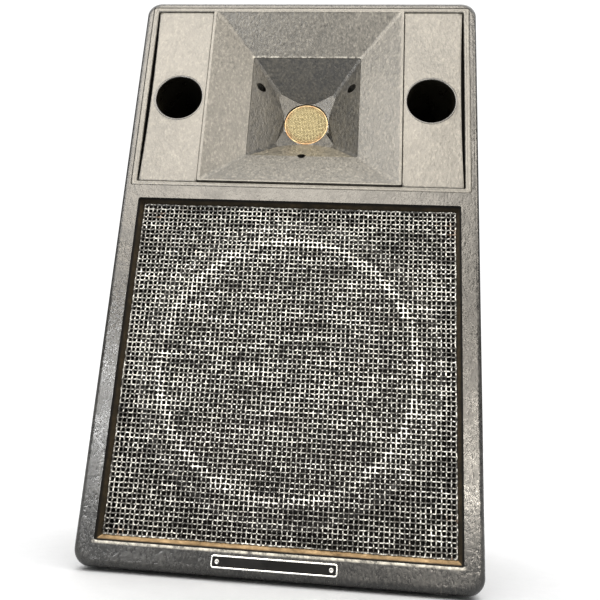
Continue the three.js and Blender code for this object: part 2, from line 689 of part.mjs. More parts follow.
function inputPanel(parent) {
  const unit = new THREE.Group();
  unit.position.z = input.z;
  parent.add(unit);
  const back = input.plateFace - input.plate;
  const { screwX } = input;
  const plate = shaped(
    roundedSlab(-input.halfWide + 4, input.halfWide - 4, back, input.plateFace,
      -input.halfHigh + 4, input.halfHigh - 4, 4), {
      remove: [
        ...[-1, 1].map((side) => rod(side * jack.x, 0, jack.hole, 0, depth, 20)),
        ...[-1, 1].map((side) => rod(side * screwX, 0, 2.4, 0, depth, 12)),
      ],
    });
  place(unit, "input_plate", plate, blackSteel);
  for (const side of [-1, 1]) {
    const word = side < 0 ? "left" : "right";
    const body = shaped(block(-10, 10, 244, back - gap, -8.5, 8.5), {
      add: [rod(0, 0, jack.bushing, back - 2, input.plateFace + 5.5, 20)],
      remove: [rod(0, 0, jack.bore, 250, depth, 20)],
    });
    place(unit, `input_jack_${word}`, body, badge, side * jack.x);
    const nut = shaped(rod(0, 0, 7.6, input.plateFace + gap, input.plateFace + 2.8, 6), {
      remove: [rod(0, 0, jack.bushing + gap, 0, depth, 20)],
    });
    place(unit, `jack_nut_${word}`, nut, chrome, side * jack.x);
    const fixing = screw(4, 2.4, 2, 5).rotateX(Math.PI);
    place(unit, `plate_screw_${word}`, fixing, blackSteel, side * screwX,
      input.plateFace + gap + 2.4, 0);
  }
}

function crossoverUnit(parent) {
  const { halfWide, bottom, top, back, thick } = crossover;
  const front = back - thick;
  place(parent, "crossover_board", block(-halfWide, halfWide, front, back, bottom, top), board);
  place(parent, "crossover_coil",
    turned([[9, 0], [12, 0], [12, 2.5], [22, 2.5], [22, 0], [23.5, 0], [23.5, 24], [22, 24],
      [22, 21.5], [12, 21.5], [12, 24], [9, 24]], 18),
    copper, -30, front - gap - 24, (bottom + top) / 2);
  const can = turnedSolid([[0, 0], [8.4, 0], [9, 0.8], [9, 33], [8.2, 34], [9, 35], [9, 39.4],
    [8.4, 40], [0, 40]], 14).rotateZ(Math.PI / 2);
  place(parent, "crossover_capacitor", can, sleeve, 50, front - gap - 9.1, (bottom + top) / 2);
}

// An insulated lead, laid as one smooth curve through its points.
function lead(points, radius) {
  const section = new THREE.Shape().absarc(0, 0, radius, 0, 2 * Math.PI, false);
  const route = new THREE.CatmullRomCurve3(points.map((p) => new THREE.Vector3(...p)));
  return new THREE.ExtrudeGeometry(section, {
    steps: 22, curveSegments: 3, bevelEnabled: false, extrudePath: route,
  });
}

function wiring(parent) {
  place(parent, "woofer_lead", lead([
    [52, 268.5, 178], [56, 246, 186], [96, 214, 206], [128, 170, 226], [136, 124, 238],
    [124, 92, 236], [101, 78, 226],
  ], 1.8), wire);
  place(parent, "tweeter_lead", lead([
    [-48, 268.5, 178], [-52, 246, 190], [-62, 222, 250], [-70, 214, 330], [-66, 196, 410],
    [-50, 150, 458], [-36, 112, 474], [-34, 95, hornZ],
  ], 1.5), wire);
}

function dampingPad(parent) {
  const pad = { halfWide: 130, bottom: 322, top: 560, front: 246, back: 274 };
  const rounded = roundedSlab(-pad.halfWide, pad.halfWide, pad.front, pad.back,
    pad.bottom, pad.top, 18);
  place(parent, "damping_pad", rounded, wadding);
}

// ---------------------------------------------------------------- assembly
const speaker = new THREE.Group();
const body = new THREE.Group();
body.position.set(0, frontY, footProud);
speaker.add(body);
for (const build of [cabinetShells, jointSeal, cabinetFittings, grilleAndBadge, topSection,
  tweeter, woofer, inputPanel, crossoverUnit, wiring, dampingPad]) {
  build(body);
}

export default speaker;
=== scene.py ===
import math
import random

import bmesh
import bpy
import numpy as np
from mathutils import Matrix, Vector


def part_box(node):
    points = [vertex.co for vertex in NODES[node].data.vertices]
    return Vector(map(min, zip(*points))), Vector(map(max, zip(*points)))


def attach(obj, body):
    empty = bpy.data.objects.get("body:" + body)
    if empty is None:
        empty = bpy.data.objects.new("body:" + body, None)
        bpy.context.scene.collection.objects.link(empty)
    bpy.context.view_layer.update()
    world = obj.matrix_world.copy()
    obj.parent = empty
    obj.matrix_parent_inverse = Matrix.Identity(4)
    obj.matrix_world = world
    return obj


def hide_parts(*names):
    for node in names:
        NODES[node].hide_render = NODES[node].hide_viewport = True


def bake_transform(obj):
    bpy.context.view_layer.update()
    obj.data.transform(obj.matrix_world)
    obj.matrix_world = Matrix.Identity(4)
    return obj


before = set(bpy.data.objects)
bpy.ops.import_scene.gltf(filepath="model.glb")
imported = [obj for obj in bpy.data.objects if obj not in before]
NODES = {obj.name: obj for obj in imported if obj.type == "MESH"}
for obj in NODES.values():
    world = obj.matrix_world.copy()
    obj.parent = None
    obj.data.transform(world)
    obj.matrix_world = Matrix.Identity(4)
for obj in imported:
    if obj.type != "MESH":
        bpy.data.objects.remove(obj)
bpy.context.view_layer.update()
MM = 0.001
FRONT_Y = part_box("front_shell")[0].y  # the front face of the cabinet's rails
BASE_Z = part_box("front_shell")[0].z  # the underside of the cabinet


def at(x, y, z):
    """A point from millimetres: x from the middle, y back from the front face, z up from the base."""
    return Vector((x * MM, FRONT_Y + y * MM, BASE_Z + z * MM))


def box_mm(node):
    """A CAD node's lowest and highest corners in the millimetres of at()."""
    lo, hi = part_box(node)
    shift = Vector((0, FRONT_Y, BASE_Z))
    return (lo - shift) / MM, (hi - shift) / MM


# ---------------------------------------------------------------- driving dimensions
FRONT_LO, FRONT_HI = box_mm("front_shell")
REAR_LO, REAR_HI = box_mm("rear_shell")
WIDTH, HEIGHT, DEPTH = FRONT_HI.x - FRONT_LO.x, FRONT_HI.z, REAR_HI.y
SPLIT_FRONT, SPLIT_BACK = FRONT_HI.y, REAR_LO.y
CORNER, WALL, FRONT_ROUND, BASE_ROUND = 15.0, 6.0, 5.5, 8.0
TAPER_START, TAPER_SIDE, TAPER_TOP = 230.0, 26.0, 20.0
BAY = (-165.4, 165.4, 24.1, 358.5)  # the grille recess's mouth: left, right, bottom, top
LEDGE_DEPTH, LEDGE, BAFFLE, BAFFLE_BACK = 12.0, 6.0, 30.0, 38.0
DRAFT = 3.4  # how much the grille's recess narrows on each side down to the ledge
WOOFER_Z = (box_mm("woofer_cone")[0].z + box_mm("woofer_cone")[1].z) / 2
BEZEL_LO, BEZEL_HI = box_mm("top_bezel")
BEZEL_SIDE, BEZEL_RAIL, SEAM = 5.3, 4.3, 0.8
SEAT, SEAT_BACK = 8.0, 14.0
PANEL_LO, PANEL_HI = box_mm("vent_panel_right")
TUBE_LO, TUBE_HI = box_mm("vent_tube_right")
VENT_X, VENT_Z = (TUBE_LO.x + TUBE_HI.x) / 2, (TUBE_LO.z + TUBE_HI.z) / 2
VENT_R, VENT_WALL, PANEL_BOW = 25.0, 3.2, 2.1
JACK_HOLE, JACK_BUSHING, JACK_BORE = 5.1, 4.7, 3.25
HORN_LO, HORN_HI = box_mm("horn")
HORN_Z = (HORN_LO.z + HORN_HI.z) / 2


# ---------------------------------------------------------------- meshes
def new_object(name, verts, faces, smooth_angle=35.0):
    mesh = bpy.data.meshes.new(name)
    mesh.from_pydata([tuple(v) for v in verts], [], [tuple(f) for f in faces])
    obj = bpy.data.objects.new(name, mesh)
    bpy.context.scene.collection.objects.link(obj)
    tidy(obj, smooth_angle)
    return obj


def tidy(obj, angle=35.0):
    """Faces turned outwards and shaded smooth, with every edge sharper than angle kept crisp."""
    bm = bmesh.new()
    bm.from_mesh(obj.data)
    bmesh.ops.recalc_face_normals(bm, faces=bm.faces)
    for f in bm.faces:
        f.smooth = True
    limit = math.radians(angle)
    for e in bm.edges:
        e.smooth = len(e.link_faces) != 2 or e.calc_face_angle(0.0) < limit
    bm.to_mesh(obj.data)
    bm.free()


def outline(x0, x1, z0, z1, r, steps=6):
    """A rounded rectangle's points (x, z)."""
    points = []
    corners = ((x1 - r, z1 - r), (x0 + r, z1 - r), (x0 + r, z0 + r), (x1 - r, z0 + r))
    for start, (cx, cz) in zip((0, 90, 180, 270), corners):
        for i in range(steps + 1):
            a = math.radians(start + 90 * i / steps)
            points.append((cx + r * math.cos(a), cz + r * math.sin(a)))
    return points


def circle(x, z, r, sides):
    return [
        (x + r * math.cos(2 * math.pi * i / sides), z + r * math.sin(2 * math.pi * i / sides))
        for i in range(sides)
    ]


def loft(name, loops, closed=False, angle=35.0):
    """A skin through loops of points in mm; its ends are capped unless it closes on itself."""
    n, count = len(loops[0]), len(loops)
    verts = [at(*p) for loop in loops for p in loop]
    faces = []
    for i in range(count if closed else count - 1):
        a, b = i * n, (i + 1) % count * n
        faces += [(a + k, a + (k + 1) % n, b + (k + 1) % n, b + k) for k in range(n)]
    if not closed:
        faces += [tuple(range(n))[::-1], tuple(range((count - 1) * n, count * n))]
    return new_object(name, verts, faces, angle)


def slab(name, points, y0, y1):
    """A flat outline (x, z) given thickness from y0 to y1."""
    return loft(name, [[(x, y, z) for x, z in points] for y in (y0, y1)])


def block(name, x0, x1, y0, y1, z0, z1):
    return slab(name, [(x1, z1), (x0, z1), (x0, z0), (x1, z0)], y0, y1)


def rod(name, x, z, r, y0, y1, sides=48):
    return slab(name, circle(x, z, r, sides), y0, y1)


def turned(name, profile, u, v, sides=72, axis="y", angle=35.0):
    """A closed profile of (radius, place along the axis) turned about an axis through (u, v)."""
    put = {
        "x": lambda p, q, t: (t, p, q), "y": lambda p, q, t: (p, t, q), "z": lambda p, q, t: (p, q, t),
    }[axis]
    loops = [[put(p, q, t) for p, q in circle(u, v, max(r, 0.001), sides)] for r, t in profile]
    obj = loft(name, loops, closed=True, angle=angle)
    weld(obj)
    tidy(obj, angle)
    return obj


def weld(obj, distance=4e-6):
    """Merge points closer than a distance in metres."""
    bm = bmesh.new()
    bm.from_mesh(obj.data)
    bmesh.ops.remove_doubles(bm, verts=bm.verts, dist=distance)
    bmesh.ops.dissolve_degenerate(bm, edges=bm.edges, dist=1e-6)
    bm.to_mesh(obj.data)
    bm.free()


def apply_modifiers(obj):
    """Replace the mesh with what its modifiers make of it."""
    graph = bpy.context.evaluated_depsgraph_get()
    mesh = bpy.data.meshes.new_from_object(obj.evaluated_get(graph))
    obj.modifiers.clear()
    obj.data = mesh
    return obj


def carve(obj, remove=(), add=()):
    """Join some objects to a piece, cut others out of it, and delete the tools."""
    for kind, others in (("UNION", add), ("DIFFERENCE", remove)):
        for other in others:
            m = obj.modifiers.new(other.name, "BOOLEAN")
            m.operation, m.object, m.solver = kind, other, "EXACT"
    apply_modifiers(obj)
    for other in [*remove, *add]:
        bpy.data.objects.remove(other)
    weld(obj, 5e-6)
    tidy(obj)
    return obj


def soften(obj, width, segments=3, angle=30.0):
    """Rounds every edge sharper than angle."""
    m = obj.modifiers.new("rounded", "BEVEL")
    m.width, m.segments = width * MM, segments
    m.limit_method, m.angle_limit = "ANGLE", math.radians(angle)
    m.miter_outer = "MITER_ARC"
    for e in obj.data.edges:
        e.use_edge_sharp = False
    obj.modifiers.new("normals", "WEIGHTED_NORMAL").weight = 60
    return obj


def place(obj, look, body, slot, *replaced):
    """Give a piece its look, the body it rides and the CAD nodes it replaces. Its slot argument is not used.
    """
    obj.data.materials.clear()
    obj.data.materials.append(M[look])
    if body:
        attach(obj, body)
    if replaced:
        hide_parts(*replaced)
    return obj


def paint_faces(obj, look, chosen):
    """Give another look to the faces whose middle (local mm) and normal pass a test."""
    obj.data.materials.append(M[look])
    slot = len(obj.data.materials) - 1
    for f in obj.data.polygons:
        c = (f.center - at(0, 0, 0)) / MM
        if chosen(c, f.normal):
            f.material_index = slot


# ---------------------------------------------------------------- materials
class Surface:
    """A Principled material with helpers that add nodes and link them by socket name."""

    def __init__(self, name, **values):
        self.material = bpy.data.materials.new(name)
        self.material.use_nodes = True
        self.tree = self.material.node_tree
        self.shader = self.tree.nodes["Principled BSDF"]
        self.coords = self.tree.nodes.new("ShaderNodeTexCoord").outputs["Object"]
        self.normal = None
        for key, value in values.items():
            self.set(self.shader, key.replace("_", " "), value)

    def set(self, node, socket, value):
        target = node.inputs[socket]
        if isinstance(value, bpy.types.NodeSocket):
            self.tree.links.new(value, target)
        elif isinstance(value, tuple) and len(value) == 3 and target.type == "RGBA":
            target.default_value = (*value, 1)
        else:
            target.default_value = value

    def node(self, kind, output=0, options=None, **sockets):
        n = self.tree.nodes.new("ShaderNode" + kind)
        for key, value in (options or {}).items():
            setattr(n, key, value)
        for key, value in sockets.items():
            by_number = key[0] == "i" and key[1:].isdigit()
            self.set(n, int(key[1:]) if by_number else key.replace("_", " "), value)
        return n.outputs[output]

    def stretched(self, x, y, z, turn=(0, 0, 0)):
        return self.node("Mapping", Vector=self.coords, Scale=(x, y, z), Rotation=turn)

    def noise(self, scale, detail=3.0, rough=0.55, vector=None, distortion=0.0):
        return self.node("TexNoise", Vector=vector or self.coords, Scale=scale, Detail=detail,
                         Roughness=rough, Distortion=distortion)

    def times(self, first, *others):
        for other in others:
            first = self.math("MULTIPLY", first, other)
        return first

    def attribute(self, name):
        return self.node("Attribute", output=2, options={"attribute_name": name})

    def math(self, operation, a, b=0.0, clamp=False):
        return self.node("Math", i0=a, i1=b, options={"operation": operation, "use_clamp": clamp})

    def ramp(self, value, low, high, out_low=0.0, out_high=1.0):
        return self.node("MapRange", Value=value, From_Min=low, From_Max=high,
                         To_Min=out_low, To_Max=out_high)

    def mix(self, factor, a, b):
        n = self.tree.nodes.new("ShaderNodeMix")
        n.data_type = "RGBA"
        for socket, value in ((0, factor), (6, a), (7, b)):
            if isinstance(value, bpy.types.NodeSocket):
                self.tree.links.new(value, n.inputs[socket])
            else:
                n.inputs[socket].default_value = (*value, 1) if socket > 0 else value
        return n.outputs[2]

    def axis(self, vector, index):
        return self.node("SeparateXYZ", output=index, Vector=vector)

    def colour(self, value):
        self.set(self.shader, "Base Color", value)

    def rough(self, value):
        self.set(self.shader, "Roughness", value)

    def bump(self, height, distance, strength=1.0):
        extra = {"Normal": self.normal} if self.normal else {}
        self.normal = self.node("Bump", Height=height, Distance=distance * MM, Strength=strength, **extra)
        self.set(self.shader, "Normal", self.normal)


SCUFFS = (  # stretch of the noise, slant in degrees, threshold and strength of each family of scuffs
    ((520, 90, 26), 38, 0.735, 0.26), ((330, 60, 16), -24, 0.75, 0.18), ((700, 90, 60), 52, 0.72, 0.16),
)


def painted_edge_glint(s, where):
    """Where a painted highlight runs along an edge: the top of the horn's knee, or the rail's edge under the
    grille's recess.
    """
    x, depth, height = (s.axis(s.coords, i) for i in range(3))
    if where == "knee":
        up = s.math("ABSOLUTE", s.math("SUBTRACT", height, BASE_Z + HORN_Z * MM))
        reach = s.math("MAXIMUM", s.math("ABSOLUTE", x), up)
        top = [BASE_Z + (HORN_Z + d) * MM for d in (57, 60)]
        return s.times(s.ramp(reach, 0.0604, 0.0610), s.ramp(reach, 0.0630, 0.0618), s.ramp(height, *top),
                       s.ramp(s.noise(210, 3.0, 0.7), 0.44, 0.62, 0.0, 0.5))
    return s.times(s.ramp(height, BASE_Z + 0.0213, BASE_Z + 0.0228),
                   s.ramp(depth, FRONT_Y + 0.001, FRONT_Y),
                   s.ramp(height, BASE_Z + 0.0252, BASE_Z + 0.0240),
                   s.ramp(s.math("ABSOLUTE", x), 0.168, 0.164),
                   s.ramp(s.noise(120, 3.0, 0.7), 0.36, 0.60, 0.1, 0.9))


def moulded_plastic(name, dark, light, rough, grain=1.0, scuffs=1.0, mottle=1.0, sparkle=0.35, worn=""):
    """Pebble-grained black plastic with a patchy sheen and slanting scuffs, painted glints on the pebbles'
    tops, painted shade in their hollows, and a painted highlight along one edge if worn names it.
    """
    s = Surface(name, Specular_IOR_Level=0.5)
    upright = s.stretched(1.0, 1.0, 0.62, (0, math.radians(24), 0))
    pebble, coarse = s.noise(430, 2.5, 0.65, upright), s.noise(170, 2.0, 0.5, upright)
    cloudy, blotch = s.noise(11, 4.0, 0.6), s.noise(46, 5.0, 0.7)
    level = s.math("ADD", s.times(cloudy, 0.55), s.times(coarse, 0.45))
    base = s.mix(s.ramp(level, 0.38, 0.64), dark, light)
    # painted glints: the pebbles' tops lightened
    base = s.mix(s.ramp(pebble, 0.52, 0.72, 0, sparkle), base, tuple(min(1, 3.0 * c) for c in light))
    # painted shade: the pebbles' hollows darkened
    base = s.mix(s.ramp(pebble, 0.46, 0.30, 0, 0.7), base, tuple(0.35 * c for c in dark))
    for scale, slant, low, amount in SCUFFS:
        lines = s.noise(1.0, 1.0, 0.4, s.stretched(*scale, (0, math.radians(slant), 0)))
        patchy = s.times(s.ramp(lines, low, low + 0.09, 0, amount * scuffs), s.ramp(blotch, 0.42, 0.6))
        base = s.mix(patchy, base, (0.33, 0.315, 0.28))
    # worn names the edge that gets a painted highlight, a pale dashed line
    if worn:
        glint_colour = {"knee": (0.34, 0.33, 0.30), "bay": (0.30, 0.29, 0.26)}[worn]
        base = s.mix(painted_edge_glint(s, worn), base, glint_colour)
    s.colour(base)
    patchy = s.ramp(blotch, 0.32, 0.68, -0.09 * mottle, 0.11 * mottle)
    s.rough(s.math("ADD", s.math("ADD", patchy, s.ramp(pebble, 0.3, 0.7, -0.07, 0.09)), rough))
    s.bump(s.math("ADD", s.times(coarse, 0.8), pebble), 0.42 * grain, 0.95)
    s.bump(blotch, 0.8 * mottle, 0.6)
    return s.material


def recess_dust_and_shade(name, dark, pale, speck):
    """Brown dust and grime inside the recess, with painted shade making it near-black along its front edge.
    """
    s = Surface(name, Specular_IOR_Level=0.15)
    edge = s.ramp(s.axis(s.coords, 1), FRONT_Y + 0.0026, FRONT_Y + 0.0052)
    patch, fine = s.noise(64, 5.0, 0.7), s.noise(210, 4.0, 0.6)
    base = s.mix(s.ramp(patch, 0.36, 0.62), dark, pale)
    base = s.mix(s.ramp(fine, 0.42, 0.66), base, speck)
    # painted shade: near-black along the recess's front edge
    s.colour(s.mix(edge, (0.0015, 0.0014, 0.0012), base))
    s.rough(s.ramp(fine, 0.3, 0.7, 0.75, 0.95))
    s.bump(fine, 0.25, 0.7)
    return s.material


def plain_grain(name, colour, rough, variation=0.25, grain_mm=0.4, bump_mm=0.03, metal=0.0, **extra):
    """A surface with fine grain, patchy colour and roughness."""
    s = Surface(name, Metallic=metal, **extra)
    fine, patch = s.noise(1 / (grain_mm * MM), 2.0), s.noise(60, 4.0, 0.6)
    darker = tuple(c * (1 - variation) for c in colour)
    lighter = tuple(min(1, c * (1 + variation)) for c in colour)
    level = s.math("ADD", s.times(fine, 0.4), s.times(patch, 0.6))
    s.colour(s.mix(s.ramp(level, 0.35, 0.65), darker, lighter))
    s.rough(s.ramp(patch, 0.3, 0.7, max(rough - 0.08, 0.03), min(rough + 0.08, 1)))
    s.bump(fine, bump_mm, 0.7)
    return s.material


def brushed(name, colour, rough, along="z", metal=1.0):
    """Metal with fine lines along one axis."""
    s = Surface(name, Metallic=metal)
    scale = {"x": (40, 900, 900), "y": (900, 40, 900), "z": (900, 900, 40)}[along]
    lines, patch = s.noise(1.0, 2.0, 0.5, s.stretched(*scale)), s.noise(90, 4.0)
    darker, lighter = (tuple(min(1, c * k) for c in colour) for k in (0.8, 1.12))
    s.colour(s.mix(s.ramp(patch, 0.3, 0.7), darker, lighter))
    s.rough(s.ramp(lines, 0.3, 0.7, rough - 0.08, rough + 0.1))
    s.bump(lines, 0.02, 0.6)
    return s.material


def wire_wear_and_painted_light():
    """Painted steel wire, made bright where its point attribute says: paint rubbed through, which also serves
    as a painted highlight; painted shade dims it towards the bottom.
    """
    s = Surface("wire_wear_and_painted_light", Metallic=0.35)
    fleck, patch = s.noise(420, 2.0, 0.6), s.noise(34, 4.0, 0.65)
    level = s.math("ADD", s.times(s.attribute("tint_weight"), 0.75), s.times(s.ramp(fleck, 0.35, 0.65), 0.35))
    level = s.times(
        level, s.ramp(patch, 0.3, 0.62, 0.82, 1.08), s.ramp(s.noise(330, 2.0, 0.6), 0.38, 0.62, 0.35, 1.25),
        s.ramp(s.noise(1.0, 2.0, 0.6, s.stretched(14, 1, 120)), 0.36, 0.64, 0.65, 1.15),
        # painted shade: the wires dimmer towards the bottom
        s.ramp(s.axis(s.coords, 2), BASE_Z + 0.02, BASE_Z + 0.17, 0.74, 1.0),
    )
    paint = s.mix(s.ramp(patch, 0.35, 0.65), (0.010, 0.010, 0.0095), (0.030, 0.029, 0.027))
    base = s.mix(s.ramp(level, 0.22, 0.82), paint, (0.50, 0.505, 0.49))
    rust = s.times(s.ramp(s.noise(55, 5.0, 0.7), 0.58, 0.7), s.ramp(s.attribute("corner"), 0.2, 1.0))
    s.colour(s.mix(rust, base, (0.22, 0.12, 0.06)))
    s.rough(s.ramp(fleck, 0.3, 0.7, 0.34, 0.55))
    s.bump(fleck, 0.12, 0.7)
    return s.material


def gold_wire():
    """Gold-coloured wire that is browner towards the screen's rim."""
    s = Surface("gold_wire", Metallic=0.3)
    fleck = s.noise(900, 2.0)
    base = s.mix(s.ramp(fleck, 0.35, 0.65), (0.14, 0.118, 0.056), (0.35, 0.30, 0.165))
    rim = s.times(s.attribute("tint_weight"), s.ramp(s.noise(95, 3.0), 0.4, 0.6, 0.15, 0.8))
    s.colour(s.mix(rim, base, (0.17, 0.075, 0.02)))
    s.rough(s.ramp(fleck, 0.3, 0.7, 0.3, 0.5))
    s.bump(fleck, 0.05, 0.6)
    return s.material


def ripples(s, pitch, axis):
    """A sine wave of a pitch in mm along an axis."""
    return s.math("SINE", s.times(s.axis(s.coords, axis), 2 * math.pi / (pitch * MM)))


def woven_cloth(name, dark, light, pitch, rough=0.9):
    """Cloth or board whose threads cross at a pitch in mm."""
    s = Surface(name)
    weave = s.times(ripples(s, pitch, 0), ripples(s, pitch, 2))
    patch = s.noise(120, 4.0)
    s.colour(s.mix(s.ramp(s.math("ADD", s.times(weave, 0.25), patch), 0.3, 0.75), dark, light))
    s.rough(s.ramp(patch, 0.3, 0.7, rough - 0.08, min(1, rough + 0.05)))
    s.bump(weave, 0.15, 0.6)
    return s.material


def fibrous(name, dark, light, rough=0.95, scale=160, fluff=0.8, **extra):
    """Pressed or fluffy fibres: paper pulp and wadding."""
    s = Surface(name, **extra)
    fibres, patch = s.noise(scale, 6.0, 0.75, s.stretched(1, 1, 1), 1.6), s.noise(scale / 9, 4.0)
    level = s.math("ADD", s.times(fibres, 0.6), s.times(patch, 0.4))
    s.colour(s.mix(s.ramp(level, 0.35, 0.65), dark, light))
    s.rough(s.ramp(fibres, 0.3, 0.7, rough - 0.1, min(1, rough + 0.05)))
    s.bump(fibres, fluff, 0.7)
    return s.material


def coil_wire(name, colour, pitch, axis):
    """Turns of enamelled wire round an axis."""
    s = Surface(name, Metallic=0.9)
    turns, patch = ripples(s, pitch, axis), s.noise(150, 4.0)
    s.colour(s.mix(s.ramp(turns, -1, 1), tuple(0.45 * c for c in colour), colour))
    s.rough(s.ramp(patch, 0.3, 0.7, 0.25, 0.45))
    s.bump(turns, 0.2, 0.8)
    return s.material


M = {
    # the cabinet plastic gets a painted highlight along the rail under the grille's recess, the panel plastic
    # one along the top of the horn's knee
    "shell": moulded_plastic("cabinet_plastic", (0.0040, 0.0040, 0.0040), (0.0105, 0.0104, 0.0100), 0.27,
                             0.9, 0.7, 1.05, 0.45, "bay"),
    "rear": moulded_plastic("rear_plastic", (0.0060, 0.0060, 0.0060), (0.0125, 0.0123, 0.0118), 0.42,
                            0.9, 0.5, 0.35, 0.3),
    "panel": moulded_plastic("panel_plastic", (0.036, 0.0345, 0.0305), (0.060, 0.057, 0.050), 0.36,
                             0.9, 0.6, 0.35, 0.4, "knee"),
    # painted shade: a darker copy of the horn's plastic for the faces of its pit
    "pit": moulded_plastic("pit_shaded_plastic", (0.015, 0.0152, 0.0150), (0.033, 0.031, 0.026), 0.36,
                           1.0, 0.4, 0.5),
    # the pit's upward faces: pale dust with painted light from above
    "pit_dust_and_light": moulded_plastic("pit_dust_and_light", (0.034, 0.032, 0.027), (0.074, 0.068, 0.054), 0.36,
                                1.0, 0.4, 0.6, 0.6),
    # two copies of the recess dust: a pale one for the upward wall, with painted light from above, and a
    # near-black one for the other walls, with painted shade
    "dust_and_light": recess_dust_and_shade("recess_dust_and_light", (0.055, 0.036, 0.017), (0.23, 0.165, 0.095), (0.12, 0.080, 0.040)),
    "grime_and_shade": recess_dust_and_shade("recess_grime_and_shade", (0.004, 0.0034, 0.0022), (0.022, 0.0155, 0.0075),
                          (0.010, 0.0075, 0.004)),
    # painted shade: near-black plastic on faces deep behind the grille and in the seams and gaps
    "painted_shade": plain_grain("unlit_plastic", (0.0016, 0.0016, 0.0015), 0.8, 0.4, 0.8, 0.05,
                        Specular_IOR_Level=0.06),
    "tube": plain_grain("tube_plastic", (0.0030, 0.0027, 0.0018), 0.32, 0.5, 1.2, 0.05,
                        Specular_IOR_Level=0.2),
    "wire": wire_wear_and_painted_light(),
    "gold": gold_wire(),
    "gold_cloth": woven_cloth("gold_cloth", (0.06, 0.045, 0.018), (0.14, 0.11, 0.05), 0.9, 0.7),
    "rubber": plain_grain("rubber", (0.018, 0.018, 0.018), 0.7, 0.3, 0.5, 0.05),
    "surround": plain_grain("surround_rubber", (0.0035, 0.0035, 0.0035), 0.8, 0.3, 0.5, 0.05,
                            Specular_IOR_Level=0.12),
    "foam": plain_grain("closed_foam", (0.004, 0.004, 0.004), 0.95, 0.35, 0.7, 0.25,
                        Specular_IOR_Level=0.1),
    "wadding": fibrous("wadding", (0.46, 0.44, 0.38), (0.72, 0.70, 0.63), 0.98, 190, 1.6),
    "zinc": brushed("zinc_steel", (0.58, 0.59, 0.60), 0.36, "x"),
    "black_steel": plain_grain("black_steel", (0.022, 0.022, 0.023), 0.42, 0.3, 0.5, 0.03, Coat_Weight=0.2),
    "basket": plain_grain("basket_paint", (0.005, 0.005, 0.005), 0.6, 0.3, 0.5, 0.03,
                          Specular_IOR_Level=0.15),
    "ferrite": plain_grain("ferrite", (0.055, 0.053, 0.055), 0.75, 0.35, 0.35, 0.05),
    "paper": fibrous("cone_paper", (0.0015, 0.0015, 0.0015), (0.006, 0.0058, 0.0055), 0.9, 260, 0.35,
                     Specular_IOR_Level=0.1),
    "spider": woven_cloth("spider_cloth", (0.28, 0.19, 0.08), (0.52, 0.38, 0.18), 0.8),
    "copper_y": coil_wire("copper_former", (0.72, 0.30, 0.12), 0.5, 1),
    "copper_coil": coil_wire("copper_coil", (0.75, 0.33, 0.13), 1.1, 1),
    "dome": woven_cloth("dome_fabric", (0.02, 0.018, 0.017), (0.06, 0.055, 0.05), 0.45, 0.7),
    "chrome": brushed("chrome", (0.78, 0.78, 0.79), 0.16, "x"),
    "enamel": plain_grain("badge_enamel", (0.0022, 0.0022, 0.0023), 0.4, 0.3, 0.6, 0.02,
                          Specular_IOR_Level=0.12),
    "rivet": brushed("rivet_aluminium", (0.30, 0.30, 0.30), 0.38, "x"),
    "silver": brushed("badge_silver", (0.82, 0.82, 0.80), 0.30, "x"),
    "nylon": plain_grain("gloss_black", (0.014, 0.014, 0.014), 0.24, 0.3, 0.4, 0.02),
    "aluminium": brushed("aluminium", (0.66, 0.66, 0.67), 0.34, "z"),
    "board": woven_cloth("circuit_board", (0.10, 0.17, 0.05), (0.20, 0.30, 0.11), 0.7, 0.55),
    "sleeve": plain_grain("capacitor_sleeve", (0.02, 0.04, 0.14), 0.3, 0.25, 0.8, 0.02),
    "lead": plain_grain("lead_insulation", (0.18, 0.02, 0.015), 0.4, 0.25, 0.8, 0.02),
}


# ---------------------------------------------------------------- cabinet
def rounded_inset(distance, radius, reach=None):
    """How far a rounded edge has drawn in at a distance from its end."""
    reach = reach or radius
    if distance >= reach:
        return 0.0
    t = 1 - max(distance, 0) / reach
    return radius * (1 - math.sqrt(1 - t * t))


def cabinet_form(name, depths, inset=0.0):
    """The cabinet's outside, or with an inset its hollow, lofted through rings at these depths."""
    points = outline(-WIDTH / 2, WIDTH / 2, 0, HEIGHT, CORNER, 10)
    tail = DEPTH - TAPER_START
    loops = []
    for y in depths:
        back = DEPTH - inset - y
        front = 0 if inset else rounded_inset(y, FRONT_ROUND)
        side = inset + front + rounded_inset(back, TAPER_SIDE, tail)
        top = inset + front + rounded_inset(back, TAPER_TOP, tail)
        base = inset + (0 if inset else rounded_inset(y, BASE_ROUND)) + rounded_inset(back, BASE_ROUND)
        loops.append([
            (x * (1 - 2 * side / WIDTH), y, base + z * (HEIGHT - top - base) / HEIGHT) for x, z in points
        ])
    return loft(name, loops)


